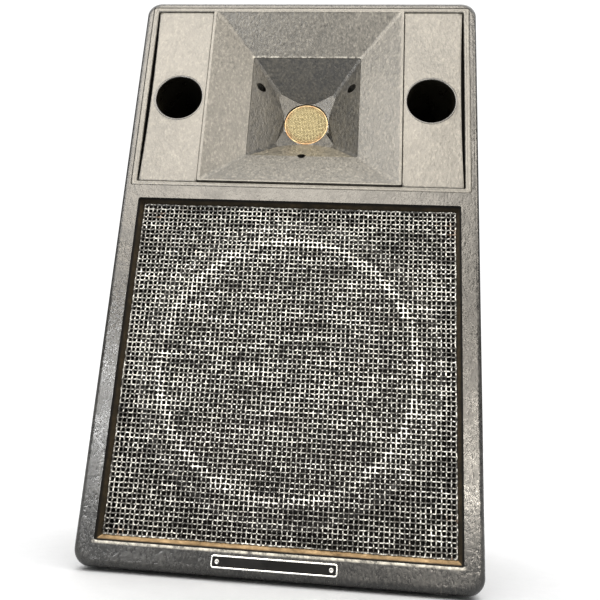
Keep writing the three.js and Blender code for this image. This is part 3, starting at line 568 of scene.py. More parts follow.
def front_half():
    depths = [0, 0.12, 0.4, 0.9, 1.6, 2.6, 4, 5.8, 8, 30, 60, SPLIT_FRONT]
    x0, x1, z0, z1 = BAY
    hole = HORN_HI.x - 8.5
    inner = (-WIDTH / 2 + WALL, WIDTH / 2 - WALL)
    shell = cabinet_form("front_half", depths)
    cutters = [
        slab("c1", outline(*inner, WALL, HEIGHT - WALL, CORNER - WALL), BAFFLE_BACK, SPLIT_FRONT + 1),
        loft("c2", [[(x, y, z) for x, z in outline(x0 + d, x1 - d, z0 + d, z1 - d, 2.2)]
                    for y, d in ((-1, -DRAFT / LEDGE_DEPTH), (LEDGE_DEPTH, DRAFT))]),
        slab("c3", outline(x0 + LEDGE, x1 - LEDGE, z0 + LEDGE, z1 - LEDGE, 2.5), LEDGE_DEPTH - 1, BAFFLE),
        rod("c4", 0, WOOFER_Z, 142, BAFFLE - 1, BAFFLE_BACK + 1, 96),
        slab("c5", outline(BEZEL_LO.x - SEAM, BEZEL_HI.x + SEAM, BEZEL_LO.z - SEAM, BEZEL_HI.z + SEAM, 2.2),
             -1, SEAT),
        slab("c6", outline(*inner, BEZEL_LO.z + 10, HEIGHT - WALL, CORNER - WALL),
             SEAT_BACK, BAFFLE_BACK + 1),
        block("c7", -hole, hole, SEAT - 1, SEAT_BACK + 1, BEZEL_LO.z + 11, BEZEL_HI.z - 11),
    ]
    cutters += [rod("v", s * VENT_X, VENT_Z, VENT_R + VENT_WALL + 0.3, SEAT - 1, SEAT_BACK + 1, 64)
                for s in (-1, 1)]
    carve(shell, cutters)
    soften(shell, 1.3, 4)
    place(shell, "shell", "cabinet", "cabinet_plastic", "front_shell")

    def in_bay(c):
        return abs(c.x) < x1 + 4 and z0 - 4 < c.z < z1 + 4

    def on_wall(c):
        return in_bay(c) and 0.3 < c.y < LEDGE_DEPTH - 0.5

    # painted shade on the recess walls, painted light on the wall that faces up
    paint_faces(shell, "grime_and_shade", lambda c, n: on_wall(c))
    paint_faces(shell, "dust_and_light", lambda c, n: on_wall(c) and n.z > 0.6)
    # painted shade: faces behind the grille's ledge and round the horn's opening made near-black
    paint_faces(shell, "painted_shade", lambda c, n: in_bay(c) and LEDGE_DEPTH - 0.5 < c.y < BAFFLE_BACK - 0.5)
    paint_faces(shell, "painted_shade", lambda c, n: BEZEL_LO.z - 2 < c.z < BEZEL_HI.z + 2
                and abs(c.x) < BEZEL_HI.x + 2 and 0.3 < c.y < BAFFLE_BACK - 0.5)


def rear_half():
    tail = DEPTH - TAPER_START
    arc = [TAPER_START + tail * math.sin(math.pi / 2 * i / 14) for i in range(1, 15)]
    shell = cabinet_form("rear_half", [SPLIT_BACK, 130, 180, TAPER_START, *arc])
    arc_in = [TAPER_START - WALL + tail * math.sin(math.pi / 2 * i / 8) for i in range(1, 9)]
    hollow = cabinet_form("hollow", [SPLIT_BACK - 1, TAPER_START - WALL, *arc_in], WALL)
    carve(shell, [hollow])
    plate_lo, plate_hi = box_mm("input_plate")
    middle = (plate_lo.z + plate_hi.z) / 2
    half_w, half_h = plate_hi.x + 4, (plate_hi.z - plate_lo.z) / 2 + 4
    wall = DEPTH - WALL + 0.5
    tub = slab("tub", outline(-half_w - 5, half_w + 5, middle - half_h - 5, middle + half_h + 5, 6),
               plate_hi.y - 9, wall)
    towers, bores = [], []
    for i in range(1, 5):
        lo, hi = box_mm(f"joint_screw_{i}")
        x, z = (lo.x + hi.x) / 2, (lo.z + hi.z) / 2
        towers.append(rod("tower", x, z, 8, SPLIT_BACK, wall, 32))
        bores.append(rod("bore", x, z, 5.2, 104, DEPTH + 1, 40))
        bores.append(rod("pilot", x, z, 2.6, SPLIT_BACK - 1, DEPTH, 24))
    cuts = [
        slab("recess", outline(-half_w, half_w, middle - half_h, middle + half_h, 5),
             plate_lo.y - 0.3, DEPTH + 1),
        block("window", -50, 50, plate_hi.y - 12, DEPTH, middle - 24, middle + 24),
        *bores,
    ]
    for side, node in ((-1, "handle_cup_left"), (1, "handle_cup_right")):
        lo, hi = box_mm(node)
        ym, zm = (lo.y + hi.y) / 2, (lo.z + hi.z) / 2
        long, high = (hi.y - lo.y) / 2, (hi.z - lo.z) / 2
        for name, deep, less in (("mouth", WALL + 1, 5.0), ("rebate", 3.3, -0.3)):
            points = outline(ym - long + less, ym + long - less, zm - high + less, zm + high - less,
                             1.2 if less < 0 else 6)
            xa, xb = sorted((side * (WIDTH / 2 - deep), side * (WIDTH / 2 + 1)))
            cuts.append(loft(name, [[(x, y, z) for y, z in points] for x in (xa, xb)]))
    for i in (2, 4):
        lo, hi = box_mm(f"foot_{i}")
        cuts.append(upright_rod("foot_seat", (lo.x + hi.x) / 2, (lo.y + hi.y) / 2, 11.3, -1, hi.z + 0.3))
    lo, hi = box_mm("stand_socket")
    cuts.append(upright_rod("socket_hole", 0, (lo.y + hi.y) / 2, 21.8, -1, WALL + 1, 64))
    carve(shell, cuts, [tub, *towers])
    soften(shell, 1.3, 3)
    place(shell, "rear", "cabinet", "cabinet_plastic", "rear_shell")


def upright_rod(name, x, y, r, z0, z1, sides=48):
    ring = circle(x, y, r, sides)
    return loft(name, [[(u, v, z) for u, v in ring] for z in (z0, z1)])


def handle_cup(side, node):
    """A hand hold with rounded corners, whose upper lip leaves room for the fingers."""
    lo, hi = box_mm(node)
    ym, zm = (lo.y + hi.y) / 2, (lo.z + hi.z) / 2
    face = WIDTH / 2

    def ring(depth, half_y, z0, z1, r):
        return [(side * (face - depth), ym + y, zm + z) for y, z in outline(-half_y, half_y, z0, z1, r, 8)]

    outside = [
        ring(0, 62, -50, 50, 3), ring(3, 62, -50, 50, 3), ring(3, 56, -44, 44, 8), ring(30, 56, -44, 44, 12),
        ring(38, 53, -41, 41, 14), ring(42, 46, -34, 34, 14),
    ]
    body = loft(f"{node}_moulding", outside)
    mouth = loft("mouth", [
        ring(-1, 53.5, -31.5, 31.5, 12), ring(0.2, 53.5, -31.5, 31.5, 12), ring(1.6, 52, -30, 30, 10.5),
        ring(34, 51, -29, 29, 10), ring(38, 47.5, -25.5, 25.5, 9), ring(39, 43, -21, 21, 8),
    ])
    fingers = loft("fingers", [ring(14, 50, 0, 40, 7), ring(34, 50, 0, 40, 7), ring(38.6, 46, 0, 35, 7)])
    carve(body, [mouth, fingers])
    soften(body, 1.2, 4)
    place(body, "rear", "cabinet", "cabinet_plastic", node)


def top_bezel():
    x0, x1, z0, z1 = BEZEL_LO.x, BEZEL_HI.x, BEZEL_LO.z, BEZEL_HI.z
    back = BEZEL_HI.y
    profile = [  # (share of the way in across the rail, depth): two rolls with a groove between
        (0, back), (0, 0.9), (0.05, 0.4), (0.16, 0.08), (0.28, 0), (0.40, 0.08), (0.50, 0.3),
        (0.60, 0.08), (0.72, 0), (0.84, 0.1), (0.94, 0.45), (1, 1.1), (1, back),
    ]
    spill = 0.65
    loops = []
    for f, y in profile:
        dx, dz = f * (BEZEL_SIDE + spill) - spill, f * (BEZEL_RAIL + spill) - spill
        loops.append([(x, y, z) for x, z in outline(x0 + dx, x1 - dx, z0 + dz, z1 - dz, 2.0 - 0.9 * f, 5)])
    frame_piece = loft("bezel", loops, closed=True, angle=60)
    place(frame_piece, "panel", "cabinet", "panel_plastic", "top_bezel")
    # painted shade: the bezel's side walls in the seams
    paint_faces(frame_piece, "painted_shade", lambda c, n: c.y > 1.2 and abs(n.x) > 0.7)


def vent_panel(side, node):
    """A flat panel round its vent, whose outer edge bows in a little at mid-height."""
    inner, outer = PANEL_LO.x, PANEL_HI.x
    z0, z1 = BEZEL_LO.z + BEZEL_RAIL + 0.25, BEZEL_HI.z - BEZEL_RAIL - 0.25
    middle = (z0 + z1) / 2
    half = (z1 - z0) / 2
    sides = 144

    def edge(angle, less):
        """Where a ray from the vent's middle meets the panel's outline."""
        c, s = math.cos(angle), math.sin(angle)
        reach = 1e9
        for _ in range(3):
            zz = VENT_Z + s * min(reach, 500)
            bow = PANEL_BOW * (1 - min(1, abs(zz - middle) / half) ** 2)
            across = (outer - bow - less if c > 0 else inner + less) - VENT_X
            upward = (z1 - less if s > 0 else z0 + less) - VENT_Z
            reach = min(gap / part for gap, part in ((across, c), (upward, s)) if abs(part) > 1e-9)
        return VENT_X + c * reach, VENT_Z + s * reach

    corners = [math.atan2(z - VENT_Z, x - VENT_X) for x in (inner, outer) for z in (z0, z1)]
    angles = sorted({*(2 * math.pi * i / sides - math.pi for i in range(sides)), *corners})
    face, back = PANEL_LO.y, PANEL_HI.y
    loops = []
    mouth = (
        (0.0, back), (0.0, face + 1.2), (0.08, face + 0.6), (0.3, face + 0.1), (0.7, face - 0.25),
        (1.15, face - 0.4), (1.7, face - 0.32), (2.3, face - 0.1), (3.0, face),
    )
    rim = (
        (2.4, face), (1.4, face), (0.75, face + 0.12), (0.3, face + 0.5), (0.05, face + 1.1), (0, face + 1.8),
        (0, back),
    )
    for more, y in mouth:
        r = VENT_R + more
        loops.append([(VENT_X + r * math.cos(a), y, VENT_Z + r * math.sin(a)) for a in angles])
    for less, y in rim:
        loops.append([(x, y, z) for x, z in (edge(a, less) for a in angles)])
    loops = [[(side * x, y, z) for x, y, z in loop] for loop in loops]
    panel = loft(node.replace("vent_", "hf_"), loops, closed=True, angle=50)
    place(panel, "panel", "cabinet", "panel_plastic", node)

    def reach(c):
        return math.hypot(c.x - side * VENT_X, c.z - VENT_Z)

    # painted shade: the panel's side walls in the gap beside the bezel
    paint_faces(panel, "painted_shade", lambda c, n: c.y > face + 1.0 and abs(n.x) > 0.7)
    # painted shade: the vent mouth's inner wall gets the near-black tube plastic
    paint_faces(panel, "tube", lambda c, n: reach(c) < VENT_R + 0.2)
    paint_faces(panel, "nylon", lambda c, n: VENT_R + 0.2 < reach(c) < VENT_R + 2.4)


def vent_tube(side, node):
    outer = VENT_R + VENT_WALL
    profile = [
        (VENT_R, TUBE_HI.y), (VENT_R, PANEL_HI.y + 0.3), (outer, PANEL_HI.y + 0.3),
        (outer, SEAT_BACK + 0.3), (outer + 6, SEAT_BACK + 0.3), (outer + 6, SEAT_BACK + 3),
        (outer, SEAT_BACK + 3), (outer, TUBE_HI.y - 0.6), (outer - 0.6, TUBE_HI.y),
    ]
    tube = turned(f"{node}_liner", profile, side * VENT_X, VENT_Z, 96, angle=50)
    place(tube, "tube", "cabinet", "cabinet_plastic", node)


def squared(y, half_x, half_z, corner, rounded=False):
    """A rectangle whose four corners are cut off straight or rounded, in the same number of points."""
    points, steps = [], 5
    for turn, (sx, sz) in enumerate(((1, 1), (-1, 1), (-1, -1), (1, -1))):
        for k in range(steps + 1):
            t = k / steps
            u, v = (1 - math.sin(math.pi / 2 * t), 1 - math.cos(math.pi / 2 * t)) if rounded else (1 - t, t)
            if turn % 2:
                u, v = v, u
            points.append((sx * (half_x - corner * v), sz * (half_z - corner * u)))
    return [(x, y, HORN_Z + z) for x, z in points]


def horn():
    """A square flare that folds into a steeper pit, whose corner facets lead to the round throat."""
    half_x, half_z = HORN_HI.x, (HORN_HI.z - HORN_LO.z) / 2
    front, back = HORN_LO.y, HORN_HI.y
    knee = [squared(22, 61, 61, 2.6, True), squared(22.9, 60.75, 60.75, 2.6, True)]
    throat = [squared(52, 33.5, 33.5, 3.6), squared(60, 26.2, 26.2, 17.4)]
    body = loft("horn_flare", [
        squared(back, 33, 33, 11), squared(26.5, 65.5, 65.5, 4), squared(7.7, 93.5, 93.5, 4),
        squared(7.7, half_x, half_z, 0.9), squared(front, half_x, half_z, 0.9),
        squared(front, half_x - 2.6, half_z - 1.3, 1.2), squared(-0.4, 99.7, 99.7, 5.0, True), *knee, *throat,
    ])
    flange = rod("flange", 0, HORN_Z, 67, back - 5, back, 72)
    places = [(59.6 * math.cos(math.radians(a)), 59.6 * math.sin(math.radians(a))) for a in (150, 30, 270)]
    bosses = [rod("boss", x, HORN_Z + z, 7.5, 30, back, 32) for x, z in places]
    shafts = [rod("shaft", x, HORN_Z + z, 4.6, 5, back - 6, 32) for x, z in places]
    pilots = [rod("pilot", x, HORN_Z + z, 2.1, back - 7, back + 1, 20) for x, z in places]
    pit = loft("pit", [squared(21.9, 61.03, 61.03, 2.6, True), knee[1], *throat])
    carve(body, [pit, rod("throat", 0, HORN_Z, 26.3, 50, back + 1, 96), *shafts, *pilots], [flange, *bosses])
    layer = body.data.attributes.new("bevel_weight_edge", "FLOAT", "EDGE")
    weights = []
    bm = bmesh.new()
    bm.from_mesh(body.data)
    for e in bm.edges:
        run = (e.verts[1].co - e.verts[0].co) / MM
        diagonal = min(abs(run.x), abs(run.z)) > 2.5 and abs(run.y) > 2.5
        sharp = len(e.link_faces) == 2 and e.calc_face_angle(0.0) > math.radians(12)
        weights.append((1.0 if diagonal else 0.22) if sharp else 0.0)
    bm.free()
    layer.data.foreach_set("value", weights)
    soften(body, 2.4, 4, 12.0)
    body.modifiers["rounded"].limit_method = "WEIGHT"
    place(body, "panel", "cabinet", "panel_plastic", "horn")

    def in_pit(c):
        return max(abs(c.x), abs(c.z - HORN_Z)) < 60.9 and c.y > 21.5

    # painted shade: the pit's faces darker than the flare
    paint_faces(body, "pit", lambda c, n: in_pit(c))
    # dust and painted light: the pit's upward-facing lower faces made paler
    paint_faces(body, "pit_dust_and_light", lambda c, n: in_pit(c) and c.z < HORN_Z - 20 and n.z > 0.4
                and abs(n.x) < 0.2)


# ---------------------------------------------------------------- woven wire
def point_values(obj, label, values):
    layer = obj.data.attributes.new(label, "FLOAT", "POINT")
    layer.data.foreach_set("value", values)


def weave(name, lines, section, y_of, keep, tint_of=None, corner_of=None):
    """Wires as closed tubes. Each line is a list of (x, z) mm; y_of gives its depth and section its radii."""
    verts, faces, tint_weight, corner = [], [], [], []
    sides = 6
    angles = [2 * math.pi * (k + 0.5) / sides for k in range(sides)]
    turn = [(math.cos(a), math.sin(a)) for a in angles]
    for across, points in lines:
        run = [p for p in points if keep(*p)]
        if len(run) < 3:
            continue
        start = len(verts)
        for x, z in run:
            y = y_of(across, x, z)
            flat, deep = section(x, z)
            for c, s in turn:
                side = flat * c
                verts.append(at(x, y + deep * s, z + side) if across else at(x + side, y + deep * s, z))
                facing = max(0.0, -s)
                tint_weight.append(tint_of(x, z, facing) if tint_of else 0.0)
                corner.append(corner_of(x, z) if corner_of else 0.0)
        for i in range(len(run) - 1):
            a, b = start + i * sides, start + (i + 1) * sides
            faces += [(a + k, a + (k + 1) % sides, b + (k + 1) % sides, b + k) for k in range(sides)]
        faces.append(tuple(range(start, start + sides))[::-1])
        faces.append(tuple(range(len(verts) - sides, len(verts))))
    obj = new_object(name, verts, faces, 70)
    for label, values in (("tint_weight", tint_weight), ("corner", corner)):
        point_values(obj, label, values)
    return obj


def wobble(seed, value):
    """A smooth irregular offset between -1 and 1."""
    waves = ((0.061, 1.7), (0.023, 2.9), (0.131, 0.7))
    return sum(math.sin(value * rate + seed * shift) for rate, shift in waves) / 3


def grille_mesh():
    """Two layers of wire that pass over and under, pressed flat along a ring over the woofer."""
    pitch, radius, ring_r, band = 4.62, 0.74, 126.0, 4.2
    edge = DRAFT + 0.7
    x0, x1, z0, z1 = BAY[0] + edge, BAY[1] - edge, BAY[2] + edge, BAY[3] - edge
    nx, nz = round((x1 - x0) / pitch), round((z1 - z0) / pitch)
    px, pz = (x1 - x0) / nx, (z1 - z0) / nz
    middle, swing = LEDGE_DEPTH - 1.75, 0.62
    rng = random.Random(11)

    def in_band(x, z):
        d = abs(math.hypot(x, z - WOOFER_Z) - ring_r)
        return max(0.0, min(1.0, (band + 1.2 - d) / 2.4))

    def depth(across, x, z):
        i, j = (x - x0) / px, (z - z0) / pz
        wave = math.cos(math.pi * (i + round(j))) if across else -math.cos(math.pi * (j + round(i)))
        press = in_band(x, z)
        bow = 0.5 * wobble(3, x) * wobble(5, z)
        return middle - swing * wave * (1 - 0.45 * press) - 1.0 * press + bow

    def crossing(x, z):
        """1 where wires cross, 0 along a bare span."""
        i, j = (x - x0) / px, (z - z0) / pz
        return max(0.0, 1 - 3.1 * abs(i - round(i))) * max(0.0, 1 - 3.1 * abs(j - round(j)))

    def section(x, z):
        press = in_band(x, z)
        worn = 1 + 0.16 * wobble(9, 2.3 * x) * wobble(4, 2.1 * z)
        return radius * worn * (0.8 + 0.62 * crossing(x, z) + 0.12 * press), radius * (1 - 0.1 * press)

    def tint_of(x, z, facing):
        """Paint rubbed bright round the holes on the front-facing flanks, also a painted highlight; paint
        stays on top of the crossings, except on the pressed ring.
        """
        meet, press = crossing(x, z), in_band(x, z)
        if facing > 0.9:
            return 0.72 - 0.66 * meet * (1 - press) + 0.12 * press
        return (0.6 - 0.3 * meet + 0.25 * press) if facing > 0.1 else 0.0

    def corner_of(x, z):
        d = min(math.hypot(x - cx, z - cz) for cx in (x0, x1) for cz in (z0, z1))
        return max(0.0, 1 - d / 60)

    def line(across, k, n, other, step, start):
        points = []
        for m in range(n * 3 + 1):
            v = start + m * step / 3
            offset = other + 0.4 * wobble(k * 1.3 + (7 if across else 0), v) + rng.uniform(-0.16, 0.16)
            points.append((v, offset) if across else (offset, v))
        return across, points

    across = [line(True, j, nx, z0 + j * pz, px, x0) for j in range(nz + 1)]
    upright = [line(False, i, nz, x0 + i * px, pz, z0) for i in range(nx + 1)]
    for name, lines in (("grille_wires_across", across), ("grille_wires_upright", upright)):
        obj = weave(name, lines, section, depth, lambda x, z: True, tint_of, corner_of)
        place(obj, "wire", "cabinet", "grille_paint", "grille")
    rim = [
        [(x, y, z) for x, z in outline(BAY[0] + d, BAY[1] - d, BAY[2] + d, BAY[3] - d, 1.8)]
        for d, y in ((3.5, 11.9), (3.5, 11.2), (3.7, 10.9), (4.6, 10.9), (4.8, 11.2), (4.8, 11.9))
    ]
    edge = loft("grille_edge", rim, closed=True, angle=60)
    place(edge, "wire", "cabinet", "grille_paint")


def tweeter_screen():
    """A dished screen of woven gold wire over cloth, in a rolled rim."""
    lo, hi = box_mm("tweeter_screen")
    radius = hi.x - 0.9

    def surface(r):
        return lo.y + 0.25 + 2.1 * (r / radius) ** 2

    pitch, wire = 1.7, 0.36
    count = int(radius / pitch)

    def depth(across, x, z):
        i, j = x / pitch, (z - HORN_Z) / pitch
        wave = math.cos(math.pi * (i + round(j))) if across else -math.cos(math.pi * (j + round(i)))
        return surface(math.hypot(x, z - HORN_Z)) - 0.2 * wave

    def line(across, k):
        steps = int(2 * radius / (pitch / 2))
        points = []
        for m in range(steps + 1):
            v = -radius + m * pitch / 2
            points.append((v, HORN_Z + k * pitch) if across else (k * pitch, HORN_Z + v))
        return across, points

    lines = [line(a, k) for a in (True, False) for k in range(-count, count + 1)]
    wires = weave("tweeter_screen_wires", lines, lambda x, z: (wire, wire), depth,
                  lambda x, z: math.hypot(x, z - HORN_Z) < radius,
                  lambda x, z, facing: max(0.0, min(1.0, (math.hypot(x, z - HORN_Z) - 19) / 6)))
    place(wires, "gold", "cabinet", "gold_mesh", "tweeter_screen")
    cloth = [(0.01, surface(0) + 0.55)] + [(r, surface(r) + 0.55) for r in (6, 12, 18, 22, radius)]
    cloth += [(r, y + 0.25) for r, y in cloth[::-1]]
    place(turned("tweeter_screen_cloth", cloth, 0, HORN_Z, 64), "gold_cloth", "cabinet", "gold_mesh")
    rim = [
        (radius - 0.9, hi.y - 0.7), (radius - 0.5, hi.y - 1.2), (radius + 0.3, hi.y - 1.2),
        (radius + 0.8, hi.y - 0.6), (radius + 0.8, hi.y), (radius - 0.9, hi.y),
    ]
    ring = turned("tweeter_screen_rim", rim, 0, HORN_Z, 72)
    point_values(ring, "tint_weight", [1.0] * len(ring.data.vertices))
    place(ring, "gold", "cabinet", "gold_mesh")


# ---------------------------------------------------------------- badge and small fittings
def badge():
    """A blank plate with a silver rim round an enamelled field, held by two studs."""
    lo, hi = box_mm("badge_plate")
    rim = ((0, hi.y), (0, lo.y + 0.45), (0.12, lo.y + 0.15), (0.4, lo.y), (0.95, lo.y), (1.15, lo.y + 0.1),
           (1.3, lo.y + 0.4))
    loops = []
    for d, y in rim:
        loops.append([(x, y, z) for x, z in outline(lo.x + d, hi.x - d, lo.z + d, hi.z - d, 2.6 - d, 8)])
    plate = loft("badge_field", loops, angle=60)
    plate.data.materials.clear()
    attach(plate, "cabinet")
    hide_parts("badge_plate")
    plate.data.materials.append(M["silver"])
    plate.data.materials.append(M["enamel"])
    for f in plate.data.polygons:
        if f.normal.y < -0.9 and len(f.vertices) > 8 and f.center.y > FRONT_Y + (lo.y + 0.2) * MM:
            f.material_index = 1
    for word in ("left", "right"):
        rlo, rhi = box_mm(f"badge_rivet_{word}")
        r = (rhi.x - rlo.x) / 2
        profile = [
            (0.01, rlo.y + 0.45), (r * 0.38, rlo.y + 0.4), (r * 0.5, rlo.y + 0.08), (r * 0.66, rlo.y),
            (r * 0.86, rlo.y + 0.2), (r, rlo.y + 0.65), (r, lo.y + 0.5), (1.4, lo.y + 0.5), (1.4, rhi.y),
            (0.01, rhi.y),
        ]
        rivet = turned(f"badge_stud_{word}", profile, (rlo.x + rhi.x) / 2, (rlo.z + rhi.z) / 2, 32, angle=50)
        place(rivet, "rivet", "cabinet", "aluminium", f"badge_rivet_{word}")


# ---------------------------------------------------------------- fittings
def middle(node):
    lo, hi = box_mm(node)
    return (lo + hi) / 2


def feet():
    for i in range(1, 5):
        node = f"foot_{i}"
        lo, hi = box_mm(node)
        c, r = middle(node), (hi.x - lo.x) / 2
        profile = [
            (0.01, lo.z + 0.9), (2.6, lo.z + 0.9), (3.3, lo.z + 0.3), (4.0, lo.z), (8.7, lo.z),
            (9.7, lo.z + 0.35), (10.4, lo.z + 1.2), (r, lo.z + 2.2), (r, hi.z), (0.01, hi.z),
        ]
        place(turned(f"{node}_pad", profile, c.x, c.y, 48, "z", 50), "rubber", "cabinet", "rubber", node)


def screw(node, head, depth, shank, faces_back, look, slot):
    """A pan-head screw with a cross recess and a rolled thread."""
    lo, hi = box_mm(node)
    c, length, pitch = middle(node), hi.y - lo.y, 0.55 * shank

    def y(d):
        return hi.y - d if faces_back else lo.y + d

    profile = [(0.01, 0), (0.4 * head, 0.02), (0.75 * head, 0.14 * depth), (0.94 * head, 0.42 * depth),
               (head, 0.7 * depth), (head, depth), (shank, depth)]
    d = depth + 0.6
    while d < length - 2.2 * shank:
        profile += [(0.8 * shank, d), (shank, d + 0.5 * pitch)]
        d += pitch
    profile += [(0.8 * shank, d), (0.3 * shank, length - 0.2), (0.01, length)]
    body = turned(f"{node}_threaded", [(r, y(t)) for r, t in profile], c.x, c.z, 32)
    ends = sorted((y(-0.3), y(0.62 * depth)))
    wide, thin = 0.58 * head, 0.14 * head
    cuts = [block("slot_a", c.x - wide, c.x + wide, *ends, c.z - thin, c.z + thin),
            block("slot_b", c.x - thin, c.x + thin, *ends, c.z - wide, c.z + wide)]
    carve(body, cuts)
    place(body, look, "cabinet", slot, node)


def screws():
    for i in range(1, 5):
        screw(f"joint_screw_{i}", 4.4, 3, 2.1, True, "zinc", "zinc_steel")
        screw(f"woofer_screw_{i}", 3.7, 3, 2, False, "black_steel", "black_steel")
    for i in range(1, 4):
        screw(f"tweeter_screw_{i}", 3.4, 2.6, 1.6, False, "zinc", "zinc_steel")
    for word in ("left", "right"):
        screw(f"plate_screw_{word}", 4, 2.4, 2, True, "black_steel", "black_steel")


def input_panel():
    lo, hi = box_mm("input_plate")
    jacks = [middle(f"input_jack_{w}") for w in ("left", "right")]
    fixings = [middle(f"plate_screw_{w}") for w in ("left", "right")]
    plate = slab("input_panel", outline(lo.x, hi.x, lo.z, hi.z, 4), lo.y, hi.y)
    cuts = [rod("jack_hole", c.x, c.z, JACK_HOLE, lo.y - 1, hi.y + 1) for c in jacks]
    cuts += [rod("fixing_hole", c.x, c.z, 2.4, lo.y - 1, hi.y + 1, 24) for c in fixings]
    cuts.append(slab("field", outline(lo.x + 3, hi.x - 3, lo.z + 3, hi.z - 3, 2.5), hi.y - 0.25, hi.y + 1))
    carve(plate, cuts)
    soften(plate, 0.35, 2)
    place(plate, "black_steel", "cabinet", "black_steel", "input_plate")
    for word, c in zip(("left", "right"), jacks):
        jlo, jhi = box_mm(f"input_jack_{word}")
        housing = slab(f"jack_{word}_housing", outline(jlo.x, jhi.x, jlo.z, jhi.z, 1.2), jlo.y, lo.y - 0.3)
        bush = [(JACK_BUSHING, lo.y - 2)]
        t = hi.y + 0.2
        while t < jhi.y - 1:
            bush += [(JACK_BUSHING, t), (JACK_BUSHING - 0.35, t + 0.4)]
            t += 0.8
        bush += [(JACK_BUSHING, jhi.y - 0.5), (JACK_BUSHING - 0.5, jhi.y), (0.01, jhi.y), (0.01, lo.y - 2)]
        collar = turned(f"jack_{word}_bush", bush, c.x, c.z, 40)
        bore = [(0.01, 250), (JACK_BORE, 250), (JACK_BORE, jhi.y - 0.6), (JACK_BORE + 0.7, jhi.y + 0.1),
                (JACK_BORE + 0.7, jhi.y + 1), (0.01, jhi.y + 1)]
        carve(housing, [turned("bore", bore, c.x, c.z, 40)], [collar])
        place(housing, "nylon", "cabinet", "gloss_black", f"input_jack_{word}")
        nlo, nhi = box_mm(f"jack_nut_{word}")
        nut = slab(f"jack_{word}_nut", circle(c.x, c.z, 7.6, 6), nlo.y, nhi.y)
        carve(nut, [rod("nut_bore", c.x, c.z, JACK_BUSHING + 0.3, nlo.y - 1, nhi.y + 1, 40)])
        soften(nut, 0.4, 2)
        place(nut, "chrome", "cabinet", "chrome", f"jack_nut_{word}")


def stand_socket():
    lo, hi = box_mm("stand_socket")
    c, bore, radius, flange = middle("stand_socket"), 18.2, 21.5, 32.0
    lip = WALL + 0.3
    profile = [
        (bore + 1.2, lo.z), (radius - 0.8, lo.z), (radius, lo.z + 0.8), (radius, lip), (flange - 0.6, lip),
        (flange, lip + 0.6), (flange, lip + 2.9), (flange - 0.6, lip + 3.5), (radius + 1.5, lip + 3.5),
        (radius, lip + 5), (radius, hi.z - 1.5), (radius - 1.5, hi.z), (0.01, hi.z), (0.01, hi.z - 3),
        (bore, hi.z - 3), (bore, lo.z + 1.2),
    ]
    cup = turned("stand_cup", profile, c.x, c.y, 72, "z", 40)
    place(cup, "shell", "cabinet", "cabinet_plastic", "stand_socket")


# ---------------------------------------------------------------- drivers
def about(height, name, profile, look, body, slot, node, sides=96, bevel=0.0, angle=35.0):
    """A turned piece of a driver whose axis is at this height."""
    obj = turned(name, profile, 0, height, sides, "y", angle)
    if bevel:
        soften(obj, bevel, 2, 40)
    return place(obj, look, body, slot, node)


def ring_profile(node, inner):
    lo, hi = box_mm(node)
    outer = (hi.x - lo.x) / 2
    return [(inner, lo.y), (outer, lo.y), (outer, hi.y), (inner, hi.y)]


def cone_depth(r):
    """Depth of the cone at a radius: nearly straight, a little deeper towards its neck."""
    t = (128 - r) / (128 - 25.2)
    return 33.3 + (78 - 33.3) * (0.82 * t + 0.18 * t * t)


